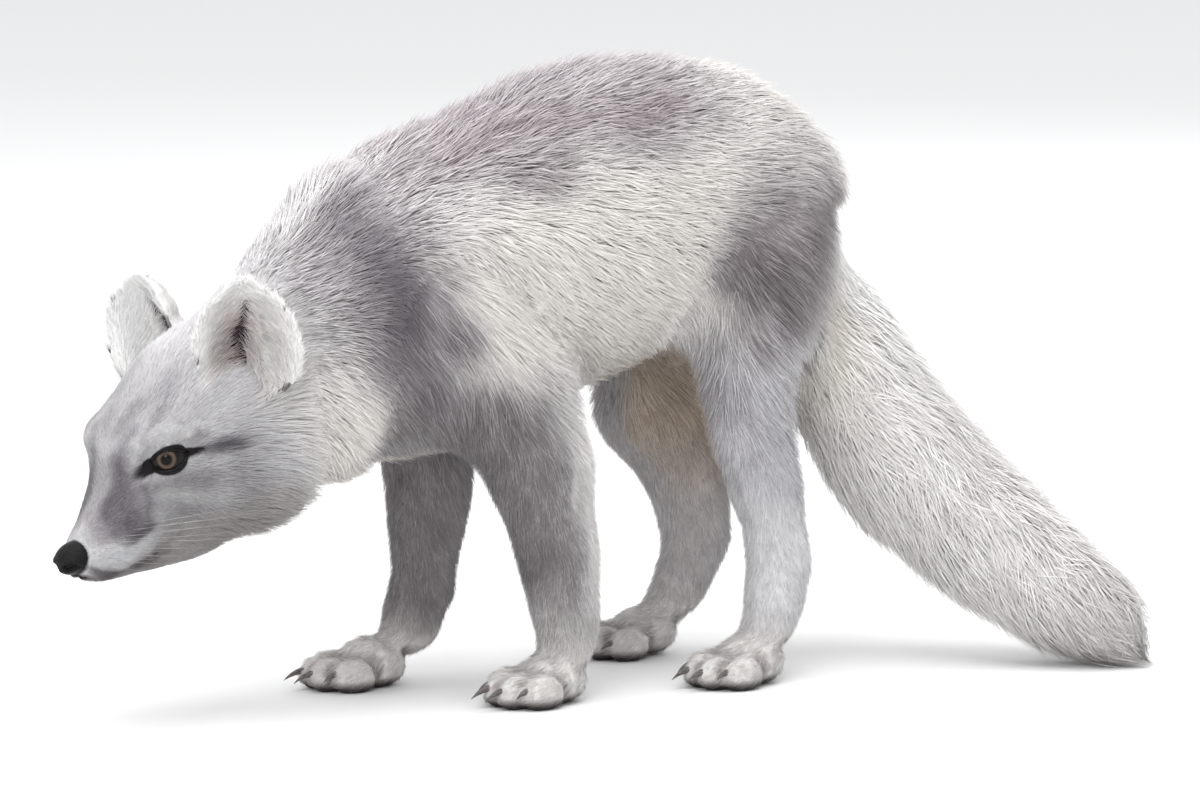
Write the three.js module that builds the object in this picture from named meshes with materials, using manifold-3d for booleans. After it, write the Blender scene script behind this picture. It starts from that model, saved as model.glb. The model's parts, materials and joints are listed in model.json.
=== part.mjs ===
// An arctic fox walking with its head lowered, life size.
// Millimetres, +Z up, nose towards -Y, left side at +X.
// The solids give the outline to the tips of the coat. The body is one smooth field of distances, made of
// tapered limbs and ellipsoids that blend into each other. Each sub-part is the stretch of that field inside
// its own cutter.
import * as THREE from 'three';
import { mergeVertices } from 'three/addons/utils/BufferGeometryUtils.js';
import Module from 'manifold-3d';

const wasm = await Module();
wasm.setup();

// ---- Driving dimensions ----
const GAP = 0.4; // between neighbouring sub-parts
const TRUNK_FLATNESS = 1.32; // how much taller than wide the trunk's sections are
const NECK_FLATNESS = 1.4;
const EYE_RADIUS = 9.5;
const HEAD_YAW = 10; // degrees, towards the left
const HEAD_PITCH = 31; // degrees, nose down
const BETWEEN_EYES = [8, -239, 128.5];
const PAW_TOP = 27; // height of the cut above each paw
const NECK_END = -118; // where the neck meets the trunk, on Y
const TOE_SPREAD = [-14, -5, 5, 14]; // sideways from the paw's middle line
const TOE_REACH = [11, 19, 19, 11]; // forward from the paw's middle

// Cell sizes of the surface grids
const CELL = {
  trunk: [18.5, 25, 18.5], neck: [17, 17, 17], head: [12.5, 10, 10], leg: [12, 12, 20], tail: [15, 15, 24],
};

// ---- Vectors ----
const V = (a) => new THREE.Vector3(...a);
const radians = THREE.MathUtils.degToRad;

// ---- Distance fields ----
// Distance from p to a cone with round ends of radii ra at a and rb at b.
function coneDistance(p, a, b, ra, rb) {
  const bax = b[0] - a[0], bay = b[1] - a[1], baz = b[2] - a[2];
  const pax = p[0] - a[0], pay = p[1] - a[1], paz = p[2] - a[2];
  const l2 = bax * bax + bay * bay + baz * baz;
  const rr = ra - rb;
  const a2 = l2 - rr * rr;
  const il2 = 1 / l2;
  const y = pax * bax + pay * bay + paz * baz;
  const z = y - l2;
  const qx = pax * l2 - bax * y, qy = pay * l2 - bay * y, qz = paz * l2 - baz * y;
  const x2 = qx * qx + qy * qy + qz * qz;
  const y2 = y * y * l2, z2 = z * z * l2;
  const k = Math.sign(rr) * rr * rr * x2;
  if (Math.sign(z) * a2 * z2 > k) return Math.sqrt(x2 + z2) * il2 - rb;
  if (Math.sign(y) * a2 * y2 < k) return Math.sqrt(x2 + y2) * il2 - ra;
  return (Math.sqrt(x2 * a2 * il2) + y * rr) * il2 - ra;
}

// Near enough the distance from p to an ellipsoid.
function ellipsoidDistance(p, centre, radii) {
  const q = p.map((v, i) => (v - centre[i]) / radii[i]);
  const k0 = Math.hypot(...q);
  const k1 = Math.hypot(q[0] / radii[0], q[1] / radii[1], q[2] / radii[2]);
  return k1 < 1e-9 ? -Math.min(...radii) : (k0 * (k0 - 1)) / k1;
}

// The lesser of two distances, rounded where they meet over a width k.
function blend(d1, d2, k) {
  const h = Math.max(k - Math.abs(d1 - d2), 0) / k;
  return Math.min(d1, d2) - h * h * k * 0.25;
}

const blendAll = (distances, k) => distances.reduce((d, e) => blend(d, e, k));

// A limb through stations of [x, y, z, radius]. Its sections are narrower than tall by the flatness.
function limb(stations, k = 6, flatness = 1) {
  const centre = stations[0][0];
  const squeezed = stations.map(([x, y, z, r]) => [centre + (x - centre) * flatness, y, z, r]);
  return (p) => {
    const q = [centre + (p[0] - centre) * flatness, p[1], p[2]];
    const pieces = squeezed.slice(1).map((b, i) => {
      const a = squeezed[i];
      return coneDistance(q, a, b, a[3], b[3]);
    });
    return blendAll(pieces, k) / Math.sqrt(flatness);
  };
}

// ---- Trunk, neck and tail ----
const trunkField = limb([
  [0, -88, 190, 71],
  [0, -50, 200, 79],
  [0, 4, 224, 76],
  [0, 36, 235, 69],
  [0, 80, 237, 62],
  [0, 109, 223, 60],
], 12, TRUNK_FLATNESS);

const neckField = limb([
  [0, -90, 190, 71],
  [0, -126, 174, 63],
  [-1, -158, 150, 49],
], 12, NECK_FLATNESS);
const WITHERS = { centre: [0, -102, 236], radii: [32, 38, 34] };

const TAIL_ROOT = [0, 140, 194];
const TAIL_TIP = [110, 258, 21];
const tailField = limb([
  [...TAIL_ROOT, 32],
  [10, 156, 146, 37],
  [32, 183, 98, 38],
  [60, 216, 59, 35],
  [88, 240, 34, 29],
  [...TAIL_TIP, 18],
], 14);

// ---- Legs: the stations run from the shoulder or hip down to the wrist or ankle ----
const LEGS = {
  foreleg_left: {
    stations: [
      [26, -92, 190, 38], [38, -47, 150, 30], [44, -39, 114, 26], [47, -31, 76, 19.5], [46, -27, 54, 17],
      [46, -24, 34, 14.5],
      [46, -27, 20, 13],
    ],
    paw: { at: [46, -38], heading: 6 },
  },
  foreleg_right: {
    stations: [
      [-26, -90, 188, 38], [-38, -56, 146, 30], [-44, -46, 97, 20.5], [-45, -47, 73, 18], [-43, -51, 44, 15],
      [-42, -58, 30, 13.6],
      [-42, -68, 18, 12.5],
    ],
    paw: { at: [-42, -86], heading: -4 },
  },
  hindleg_left: {
    stations: [
      [25, 98, 212, 43], [38, 88, 182, 35], [47, 77, 152, 25.5], [52, 78, 122, 20.5], [52, 86, 96, 17.5],
      [50, 96, 60, 15.5], [51, 92, 37, 13.7], [51, 84, 20, 13],
    ],
    paw: { at: [52, 72], heading: 6 },
  },
  hindleg_right: {
    stations: [
      [-25, 98, 212, 43], [-38, 82, 164, 36], [-44, 82, 128, 29], [-47, 108, 84, 19.5], [-46, 112, 58, 16.5],
      [-46, 104, 38, 13.5], [-46, 90, 20, 12.5],
    ],
    paw: { at: [-48, 76], heading: -4 },
  },
};
for (const leg of Object.values(LEGS)) leg.field = limb(leg.stations, 10);

// ---- Paws ----
// A paw's own frame is forward, sideways and up from the point on the floor under its middle.
function pawFrame({ at: [x, y], heading }) {
  const turn = radians(heading);
  const forward = V([Math.sin(turn), -Math.cos(turn), 0]);
  const sideways = V([Math.cos(turn), Math.sin(turn), 0]);
  return new THREE.Matrix4().makeTranslation(x, y, 0)
    .multiply(new THREE.Matrix4().makeBasis(forward, sideways, V([0, 0, 1])));
}

const TOE = { radii: [13, 7.4, 9.2], height: 8.4 };
const PAD = { centre: [-5, 0, 12], radii: [19, 17.5, 13] };

// ---- Head ----
const headTurn = new THREE.Matrix4().makeBasis(
  ...(() => {
    const yaw = radians(HEAD_YAW), pitch = radians(HEAD_PITCH);
    const forward = V([Math.sin(yaw) * Math.cos(pitch), -Math.cos(yaw) * Math.cos(pitch), -Math.sin(pitch)]);
    const up = V([Math.sin(yaw) * Math.sin(pitch), -Math.cos(yaw) * Math.sin(pitch), Math.cos(pitch)]);
    const left = V([Math.cos(yaw), Math.sin(yaw), 0]);
    return [forward, left, up];
  })(),
);
// The head's own frame is forward, left, up, from the point between the eyes.
const headFrame = new THREE.Matrix4().makeTranslation(...BETWEEN_EYES).multiply(headTurn);
const headFrameBack = headFrame.clone().invert();
const inHead = (p) => V(p).applyMatrix4(headFrameBack).toArray();
const fromHead = (p) => V(p).applyMatrix4(headFrame).toArray();

const EYE = [-5, 20.5, -1];
const NOSE = { centre: [52, 0, -20], radii: [9, 8.6, 7.2] };

function headField(p) {
  const q = inHead(p);
  const m = [q[0], Math.abs(q[1]), q[2]]; // the head is the same on both sides
  const skull = ellipsoidDistance(m, [-46, 0, -4], [42, 40, 37]);
  const forehead = ellipsoidDistance(m, [-15, 0, 1], [32, 29, 21]);
  const muzzle = coneDistance(m, [0, 0, -14], [47, 0, -24], 20, 11);
  const lips = ellipsoidDistance(m, [34, 7, -27], [16, 9.5, 10]);
  const bridge = ellipsoidDistance(m, [4, 11, -17], [25, 13, 15]);
  const jaw = coneDistance(m, [-16, 0, -46], [38, 0, -34], 20, 7.5);
  const cheek = ellipsoidDistance(m, [-36, 24, -26], [34, 23, 28]);
  const ruff = ellipsoidDistance(m, [-52, 17, -42], [38, 28, 33]);
  const brow = ellipsoidDistance(m, [-8, 19, 9], [13, 9, 7]);
  const earBase = ellipsoidDistance(m, [-62, 25, 8], [17, 12, 14]);
  return blend(
    blendAll([skull, forehead, cheek, ruff, earBase], 12),
    blendAll([muzzle, lips, bridge, jaw, brow], 7),
    9,
  );
}

// ---- The whole body ----
function bodyField(p) {
  const back = blend(trunkField(p), ellipsoidDistance(p, WITHERS.centre, WITHERS.radii), 14);
  const torso = blend(blend(back, neckField(p), 16), tailField(p), 14);
  const withLegs = Object.values(LEGS).reduce((d, leg) => blend(d, leg.field(p), 18), torso);
  return blend(withLegs, headField(p), 16);
}

// ---- From field to solid ----
// A closed mesh of the field's zero surface inside a box, on a grid of cells: one vertex in each cell that
// the surface crosses, moved onto the surface, and one quad round each grid edge that it crosses.
function meshOfField(field, low, high, cell) {
  const count = low.map((v, i) => Math.ceil((high[i] - v) / cell[i]) + 1);
  const beyondBox = (p) =>
    Math.max(...p.map((v, i) => Math.max(low[i] + cell[i] - v, v - high[i] + cell[i])));
  const closed = (p) => Math.max(field(p), beyondBox(p));
  const at = (i, j, k) => [low[0] + i * cell[0], low[1] + j * cell[1], low[2] + k * cell[2]];
  const index = (i, j, k) => (k * count[1] + j) * count[0] + i;
  const values = new Float64Array(count[0] * count[1] * count[2]);
  const each = (first, visit) => {
    for (let k = first; k < count[2] - 1; k++)
      for (let j = first; j < count[1] - 1; j++) for (let i = first; i < count[0] - 1; i++) visit(i, j, k);
  };
  for (let k = 0; k < count[2]; k++)
    for (let j = 0; j < count[1]; j++)
      for (let i = 0; i < count[0]; i++) values[index(i, j, k)] = closed(at(i, j, k));
  fillCreases(values, count, index);

  const corners = [[0, 0, 0], [1, 0, 0], [0, 1, 0], [1, 1, 0], [0, 0, 1], [1, 0, 1], [0, 1, 1], [1, 1, 1]];
  const edges = [];
  for (let c = 0; c < 8; c++) for (const bit of [1, 2, 4]) if (!(c & bit)) edges.push([c, c | bit]);
  const positions = [];
  const vertexOf = new Map();
  each(0, (i, j, k) => {
    const v = corners.map(([a, b, c]) => values[index(i + a, j + b, k + c)]);
    const crossed = edges.filter(([a, b]) => v[a] < 0 !== v[b] < 0);
    if (!crossed.length) return;
    const middle = [0, 0, 0];
    for (const [a, b] of crossed) {
      const t = v[a] / (v[a] - v[b]);
      for (let axis = 0; axis < 3; axis++)
        middle[axis] += (corners[a][axis] + t * (corners[b][axis] - corners[a][axis])) / crossed.length;
    }
    vertexOf.set(index(i, j, k), positions.length / 3);
    const corner = at(i, j, k);
    const moved = ontoSurface(closed, corner.map((base, axis) => base + middle[axis] * cell[axis]), cell);
    const within = (v, axis) => THREE.MathUtils.clamp(v, corner[axis], corner[axis] + cell[axis]);
    positions.push(...moved.map(within));
  });

  const triangles = [];
  const steps = [[1, 0, 0], [0, 1, 0], [0, 0, 1]];
  each(1, (i, j, k) => {
    steps.forEach((step, axis) => {
      const inside = values[index(i, j, k)] < 0;
      if (inside === values[index(i + step[0], j + step[1], k + step[2])] < 0) return;
      const u = steps[(axis + 1) % 3], w = steps[(axis + 2) % 3];
      const quad = [[0, 0], [1, 0], [1, 1], [0, 1]].map(([a, b]) =>
        vertexOf.get(index(i - a * u[0] - b * w[0], j - a * u[1] - b * w[1], k - a * u[2] - b * w[2])));
      const [q0, q1, q2, q3] = inside ? quad : quad.reverse();
      if (apart(positions, q0, q2) < apart(positions, q1, q3)) triangles.push(q0, q1, q2, q0, q2, q3);
      else triangles.push(q1, q2, q3, q1, q3, q0);
    });
  });
  return new THREE.BufferGeometry()
    .setAttribute('position', new THREE.BufferAttribute(new Float32Array(positions), 3))
    .setIndex(triangles);
}

// Where a cell's face has solid corners only on one diagonal, a crease is too narrow for the grid and the
// surface would touch itself along an edge. One of its empty corners is filled until no such face is left.
function fillCreases(values, count, index) {
  const turns = [[[1, 0, 0], [0, 1, 0]], [[0, 1, 0], [0, 0, 1]], [[0, 0, 1], [1, 0, 0]]];
  for (let changed = true; changed; ) {
    changed = false;
    for (let k = 0; k < count[2] - 1; k++)
      for (let j = 0; j < count[1] - 1; j++)
        for (let i = 0; i < count[0] - 1; i++)
          for (const [u, w] of turns) {
            const face = [[0, 0], [1, 0], [1, 1], [0, 1]].map(([a, b]) =>
              index(i + a * u[0] + b * w[0], j + a * u[1] + b * w[1], k + a * u[2] + b * w[2]));
            const solid = face.map((corner) => values[corner] < 0);
            if (solid[0] !== solid[2] || solid[1] !== solid[3] || solid[0] === solid[1]) continue;
            const [a, b] = solid[0] ? [face[1], face[3]] : [face[0], face[2]];
            values[values[a] < values[b] ? a : b] = -0.5;
            changed = true;
          }
  }
}

const apart = (positions, a, b) =>
  Math.hypot(...[0, 1, 2].map((axis) => positions[3 * a + axis] - positions[3 * b + axis]));

// Two Newton steps towards the field's zero, each no longer than a third of the cell.
function ontoSurface(field, start, cell) {
  const limit = Math.min(...cell) / 3;
  const h = 0.5;
  let p = start;
  for (let step = 0; step < 2; step++) {
    const d = field(p);
    const slope = [0, 1, 2].map((axis) => {
      const ahead = [...p], behind = [...p];
      ahead[axis] += h;
      behind[axis] -= h;
      return (field(ahead) - field(behind)) / (2 * h);
    });
    const steep = Math.max(Math.hypot(...slope), 0.2);
    const move = Math.max(-limit, Math.min(limit, d / steep)) / steep;
    p = p.map((v, axis) => v - slope[axis] * move);
  }
  return p;
}

// The box and its cells are laid out in a frame of their own.
function solidOfField(field, low, high, cell, frame = new THREE.Matrix4()) {
  const inFrame = (p) => field(V(p).applyMatrix4(frame).toArray());
  return solidOfGeometry(meshOfField(inFrame, low, high, cell), frame);
}

function solidOfGeometry(geometry, matrix = new THREE.Matrix4()) {
  const plain = geometry.clone();
  plain.deleteAttribute('normal');
  plain.deleteAttribute('uv');
  plain.applyMatrix4(matrix);
  const merged = mergeVertices(plain, 1e-3);
  return new wasm.Manifold(new wasm.Mesh({
    numProp: 3,
    vertProperties: merged.attributes.position.array,
    triVerts: new Uint32Array(merged.index.array),
  }));
}

// Corners that a cut leaves nearly in one place become one, and triangles that shrink to a line are left out.
function geometryOfSolid(solid) {
  const mesh = solid.getMesh();
  const geometry = mergeVertices(new THREE.BufferGeometry()
    .setAttribute('position', new THREE.BufferAttribute(mesh.vertProperties, 3))
    .setIndex(new THREE.BufferAttribute(mesh.triVerts, 1)), 2e-3);
  const all = geometry.index.array;
  const triangles = [];
  for (let t = 0; t < all.length; t += 3) {
    const [a, b, c] = all.subarray(t, t + 3);
    if (a !== b && b !== c && c !== a) triangles.push(a, b, c);
  }
  return geometry.setIndex(triangles);
}

// The largest body of a solid, without the crumbs that a cut can leave.
function largest(solid) {
  return solid.decompose().reduce((a, b) => (a.volume() > b.volume() ? a : b));
}

// ---- Cutters ----
const FAR = 500;

// All that lies beyond a plane, on the side that the normal points to.
function beyond(point, normal) {
  const n = V(normal).normalize();
  const turn = new THREE.Quaternion().setFromUnitVectors(new THREE.Vector3(0, 0, 1), n);
  const centre = V(point).addScaledVector(n, FAR / 2);
  const matrix = new THREE.Matrix4().compose(centre, turn, new THREE.Vector3(1, 1, 1));
  return solidOfGeometry(new THREE.BoxGeometry(2 * FAR, 2 * FAR, FAR), matrix);
}

const shifted = (point, normal, by) => V(point).addScaledVector(V(normal).normalize(), by).toArray();

// The two sides of a cut at a plane: what is past it, and what is before it.
function cut(point, normal) {
  return {
    past: () => beyond(shifted(point, normal, GAP / 2), normal),
    before: () => beyond(shifted(point, normal, -GAP / 2), normal.map((v) => -v)),
  };
}

// A prism along X over an outline in Y and Z.
function prism(outline, from, to) {
  const shape = new THREE.Shape(outline.map(([y, z]) => new THREE.Vector2(y, z)));
  const geometry = new THREE.ExtrudeGeometry(shape, { depth: to - from, bevelEnabled: false });
  const stand = new THREE.Matrix4().makeBasis(V([0, 1, 0]), V([0, 0, 1]), V([1, 0, 0]));
  return solidOfGeometry(geometry.applyMatrix4(stand).translate(from, 0, 0));
}

// A convex outline with each side moved outwards.
function spread(outline, by) {
  const middle = [0, 1].map((axis) => outline.reduce((sum, point) => sum + point[axis], 0) / outline.length);
  const sides = outline.map(([y, z], i) => {
    const [nextY, nextZ] = outline[(i + 1) % outline.length];
    const length = Math.hypot(nextY - y, nextZ - z);
    const normal = [(nextZ - z) / length, (y - nextY) / length];
    const reach = normal[0] * y + normal[1] * z;
    const outwards = Math.sign(reach - normal[0] * middle[0] - normal[1] * middle[1]);
    return { normal: normal.map((v) => v * outwards), reach: reach * outwards + by };
  });
  return sides.map((b, i) => {
    const a = sides.at(i - 1);
    const cross = a.normal[0] * b.normal[1] - a.normal[1] * b.normal[0];
    return [
      (a.reach * b.normal[1] - b.reach * a.normal[1]) / cross,
      (b.reach * a.normal[0] - a.reach * b.normal[0]) / cross,
    ];
  });
}

// A solid made bigger by the same amount along each axis.
function grown(solid, by) {
  const shifts = [[by, 0, 0], [-by, 0, 0], [0, by, 0], [0, -by, 0], [0, 0, by], [0, 0, -by]];
  return shifts.reduce((sum, shift) => sum.add(solid.translate(shift)), solid);
}

const FLOOR = beyond([0, 0, 0], [0, 0, 1]);
const HEAD_CUT = cut(fromHead([-80, 0, -16]), V([0.86, 0, 0.3]).transformDirection(headFrame).toArray());
const NECK_CUT = cut([0, NECK_END, 0], [0, -1, 0]);
const PAW_CUT = cut([0, 0, PAW_TOP], [0, 0, 1]);

// The cutters' outlines from the side, in Y and Z
const TAIL_OUTLINES = [
  [[176, 262], [154, 214], [130, 170], [123, 140], [122, 104], [420, 104], [420, 262]],
  [[131, 120], [131, -40], [420, -40], [420, 120]],
];
const CHEST_END = NECK_END + GAP / 2;
const FORELEG_OUTLINE = [
  [CHEST_END, -40], [CHEST_END, 186], [-106, 210], [-84, 218], [-56, 200], [-24, 164], [4, 128], [4, -40],
];
const HINDLEG_OUTLINE = [
  [36, -40], [36, 152], [42, 182], [60, 208], [88, 226], [120, 230], [200, 230], [200, -40],
];
const INNER_SIDE = 13; // from the middle of the body to the legs' cutters

// ---- Sub-parts ----
// A cutter for the sub-part itself has no room round it, and one for its neighbour has the gap.
function tailCutter(room) {
  const [upper, lower] = TAIL_OUTLINES.map((outline) => prism(spread(outline, room), -120, 160));
  return upper.add(lower);
}

function legCutter(name, room) {
  const outline = spread(name.startsWith('fore') ? FORELEG_OUTLINE : HINDLEG_OUTLINE, room);
  const inner = INNER_SIDE - room;
  return name.endsWith('left') ? prism(outline, inner, 140) : prism(outline, -140, -inner);
}

function makeTrunk() {
  let solid = solidOfField(bodyField, [-110, -190, 80], [110, 220, 330], CELL.trunk);
  solid = solid.intersect(NECK_CUT.before()).subtract(tailCutter(GAP));
  for (const name of Object.keys(LEGS)) solid = solid.subtract(legCutter(name, GAP));
  return largest(solid);
}

function makeNeck() {
  const solid = solidOfField(bodyField, [-90, -240, 60], [90, -80, 310], CELL.neck);
  return largest(solid.intersect(NECK_CUT.past()).intersect(HEAD_CUT.before()));
}

// The side of the body that a leg is on, down to the end of its wrist or ankle
function legSide(name) {
  const { stations, paw } = LEGS[name];
  const along = stations.map((s) => s[1]);
  const left = paw.at[0] > 0;
  const low = [left ? -8 : -110, Math.min(...along) - 70, -34];
  const high = [left ? 110 : 8, Math.max(...along) + 90, 260];
  const solid = solidOfField(bodyField, low, high, CELL.leg);
  return solid.intersect(legCutter(name, 0)).subtract(tailCutter(GAP));
}

// A round body squashed to three radii, placed in a frame.
function ellipsoid(frame, centre, radii, across = 10, upwards = 6) {
  const matrix = frame.clone()
    .multiply(new THREE.Matrix4().makeTranslation(...centre))
    .multiply(new THREE.Matrix4().makeScale(...radii));
  return solidOfGeometry(new THREE.SphereGeometry(1, across, upwards).rotateX(Math.PI / 2), matrix);
}

// A paw is the end of the leg, a pad and four toes.
function makePaw(side, paw) {
  const frame = pawFrame(paw);
  let solid = largest(side.intersect(PAW_CUT.before()));
  solid = solid.add(ellipsoid(frame, PAD.centre, PAD.radii, 8, 6));
  TOE_SPREAD.forEach((side, toe) => {
    solid = solid.add(ellipsoid(frame, [TOE_REACH[toe], side, TOE.height], TOE.radii, 8, 5));
  });
  return largest(solid.intersect(FLOOR));
}

// The tail's cells run along it.
function makeTail() {
  const [root, tip] = [V(TAIL_ROOT), V(TAIL_TIP)];
  const turn = new THREE.Quaternion().setFromUnitVectors(V([0, 0, 1]), tip.clone().sub(root).normalize());
  const frame = new THREE.Matrix4().compose(root, turn, V([1, 1, 1]));
  const reach = root.distanceTo(tip) + 60;
  const solid = solidOfField(bodyField, [-90, -90, -60], [90, 90, reach], CELL.tail, frame);
  return largest(solid.intersect(tailCutter(0)).intersect(FLOOR));
}

// ---- Eyes, nose, ears and claws ----
const eyeball = (side, radius) =>
  ellipsoid(headFrame, [EYE[0], side * EYE[1], EYE[2]], [radius, radius, radius], 12, 7);

// The slit between the lids is a long ellipsoid that slants up towards the ear.
function eyeSlit(side) {
  const frame = headFrame.clone()
    .multiply(new THREE.Matrix4().makeTranslation(0, side * 28, 0.5))
    .multiply(new THREE.Matrix4().makeRotationZ(side * radians(55)))
    .multiply(new THREE.Matrix4().makeRotationX(-side * radians(14)));
  return ellipsoid(frame, [0, 0, 0], [6, 12, 5]);
}

const noseSolid = (extra) => ellipsoid(headFrame, NOSE.centre, NOSE.radii.map((r) => r + extra));

const EARS = {
  left: { root: [-55, 30, 0], tip: [-69, 42, 52], facing: [0.66, 0.75, 0] },
  right: { root: [-54, -33, 0], tip: [-73, -44, 44], facing: [0.995, 0.1, 0] },
};
const EAR_SHAPE = { halfWidth: 24, widest: 0.42, cup: 15, thickness: 9 };

// An ear is a shell on a grid: across from edge to edge, up from root to tip. It is cupped forwards and
// outwards.
function earGeometry({ root, tip, facing: towards }) {
  const across = 6, upwards = 6;
  const up = V(tip).sub(V(root));
  const height = up.length();
  up.normalize();
  const facing = V(towards);
  facing.addScaledVector(up, -facing.dot(up)).normalize();
  const sideways = new THREE.Vector3().crossVectors(up, facing);
  const positions = [];
  for (const layer of [0, 1])
    for (let j = 0; j <= upwards; j++)
      for (let i = 0; i <= across; i++) {
        const v = j / upwards;
        const s = (2 * i) / across - 1;
        const taper = Math.sqrt(1 - ((v - EAR_SHAPE.widest) / 0.6) ** 2);
        const thin = EAR_SHAPE.thickness * (1 - 0.45 * v) * (1 - 0.6 * s * s);
        const depth = EAR_SHAPE.cup * taper * (s * s - 0.6) + (layer ? thin : -thin) * 0.5;
        const point = V(root)
          .addScaledVector(up, height * v)
          .addScaledVector(sideways, EAR_SHAPE.halfWidth * taper * s)
          .addScaledVector(facing, depth);
        positions.push(...point.applyMatrix4(headFrame).toArray());
      }
  const row = across + 1, layerSize = row * (upwards + 1);
  const triangles = [];
  const quad = (a, b, c, d) => triangles.push(a, b, c, a, c, d);
  for (let j = 0; j < upwards; j++)
    for (let i = 0; i < across; i++) {
      const a = j * row + i;
      quad(a + 1, a, a + row, a + row + 1); // the back
      quad(layerSize + a, layerSize + a + 1, layerSize + a + row + 1, layerSize + a + row); // the front
    }
  for (let i = 0; i < across; i++) {
    const last = upwards * row + i;
    quad(i, i + 1, layerSize + i + 1, layerSize + i);
    quad(last + 1, last, layerSize + last, layerSize + last + 1);
  }
  for (let j = 0; j < upwards; j++) {
    const a = j * row, b = a + across;
    quad(a + row, a, layerSize + a, layerSize + a + row);
    quad(b, b + row, layerSize + b + row, layerSize + b);
  }
  return new THREE.BufferGeometry()
    .setAttribute('position', new THREE.BufferAttribute(new Float32Array(positions), 3))
    .setIndex(triangles);
}

const CLAW = { start: 8, length: 15, root: 2.4, drop: 5, sides: 4, steps: 2 };

// A claw is a bent cone that leaves the toe forwards and curves down to the floor.
function clawGeometry(paw, toe, thicker) {
  const rings = [];
  for (let j = 0; j < CLAW.steps; j++) {
    const t = j / (CLAW.steps - 0.4);
    const radius = CLAW.root * (1 - t) ** 0.8 + thicker;
    const forward = TOE_REACH[toe] + CLAW.start + CLAW.length * t;
    const centre = [forward, TOE_SPREAD[toe] * (1 + 0.1 * t), 9.5 - CLAW.drop * t * t];
    rings.push({ centre, radius });
  }
  const positions = [];
  for (const { centre: [f, s, u], radius } of rings)
    for (let i = 0; i < CLAW.sides; i++) {
      const a = (2 * Math.PI * i) / CLAW.sides;
      positions.push(f, s + radius * 0.7 * Math.cos(a), u + radius * Math.sin(a));
    }
  const point = [TOE_REACH[toe] + CLAW.start + CLAW.length + thicker, TOE_SPREAD[toe] * 1.1, 9.5 - CLAW.drop];
  positions.push(...rings[0].centre, ...point);
  const root = positions.length / 3 - 2, tip = root + 1;
  const triangles = [];
  for (let i = 0; i < CLAW.sides; i++) {
    const next = (i + 1) % CLAW.sides;
    triangles.push(root, next, i);
    for (let j = 0; j < CLAW.steps - 1; j++) {
      const a = j * CLAW.sides + i, b = j * CLAW.sides + next;
      triangles.push(a, b, b + CLAW.sides, a, b + CLAW.sides, a + CLAW.sides);
    }
    const last = (CLAW.steps - 1) * CLAW.sides;
    triangles.push(last + i, last + next, tip);
  }
  return new THREE.BufferGeometry()
    .setAttribute('position', new THREE.BufferAttribute(new Float32Array(positions), 3))
    .setIndex(triangles)
    .applyMatrix4(pawFrame(paw));
}

function makeHead() {
  let solid = solidOfField(bodyField, [-132, -72, -108], [84, 72, 81], CELL.head, headFrame);
  solid = solid.intersect(HEAD_CUT.past());
  for (const side of [1, -1]) {
    solid = solid.subtract(eyeSlit(side)).subtract(eyeball(side, EYE_RADIUS + GAP));
  }
  return largest(solid.subtract(noseSolid(GAP)));
}

// ---- Assembly ----
const COAT = new THREE.MeshStandardMaterial({ color: 0xd9d6d6, roughness: 0.9, metalness: 0 });
const GREY_COAT = new THREE.MeshStandardMaterial({ color: 0x9a9396, roughness: 0.9, metalness: 0 });
const HORN = new THREE.MeshStandardMaterial({ color: 0x3a3433, roughness: 0.45, metalness: 0 });
const NOSE_SKIN = new THREE.MeshStandardMaterial({ color: 0x16171a, roughness: 0.4, metalness: 0 });
const EYE_GLASS = new THREE.MeshStandardMaterial({ color: 0x5a4636, roughness: 0.08, metalness: 0 });

const fox = new THREE.Group();
function place(name, geometry, material) {
  const mesh = new THREE.Mesh(geometry, material);
  mesh.name = name;
  fox.add(mesh);
}

const head = makeHead();
place('trunk', geometryOfSolid(makeTrunk()), GREY_COAT);
place('neck', geometryOfSolid(makeNeck()), COAT);
place('tail', geometryOfSolid(makeTail()), COAT);
place('nose', geometryOfSolid(noseSolid(0)), NOSE_SKIN);
for (const [suffix, side] of [['left', 1], ['right', -1]]) {
  place(`eye_${suffix}`, geometryOfSolid(eyeball(side, EYE_RADIUS)), EYE_GLASS);
  const ear = largest(solidOfGeometry(earGeometry(EARS[suffix])).subtract(grown(head, GAP)));
  place(`ear_${suffix}`, geometryOfSolid(ear), COAT);
}
place('head', geometryOfSolid(head), COAT);
for (const name of Object.keys(LEGS)) {
  const { paw } = LEGS[name];
  const side = legSide(name);
  place(name, geometryOfSolid(largest(side.intersect(PAW_CUT.past()))), GREY_COAT);
  let foot = makePaw(side, paw);
  TOE_SPREAD.forEach((_, toe) => {
    foot = foot.subtract(solidOfGeometry(clawGeometry(paw, toe, GAP)));
    place(`${name.replace('leg', 'claw')}_${toe + 1}`, clawGeometry(paw, toe, 0), HORN);
  });
  place(name.replace('leg', 'paw'), geometryOfSolid(largest(foot)), COAT);
}

// The origin is on the floor, under the middle of the outline.
const outline = new THREE.Box3().setFromObject(fox);
const middle = outline.getCenter(new THREE.Vector3());
fox.position.set(-middle.x, -middle.y, 0);

export default fox;
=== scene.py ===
# %% [markdown]
# # An arctic fox in its half-moulted coat
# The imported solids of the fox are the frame. They give its outline out to the tips of the hair. Here they
# get a living surface: one skin under the coat, a face with lids, nose and lips, claws, and the coat
# itself.
# %% The frame
import json
import math

import bpy
import numpy as np
from mathutils import Matrix, Vector
from mathutils.bvhtree import BVHTree
from mathutils.kdtree import KDTree

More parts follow.
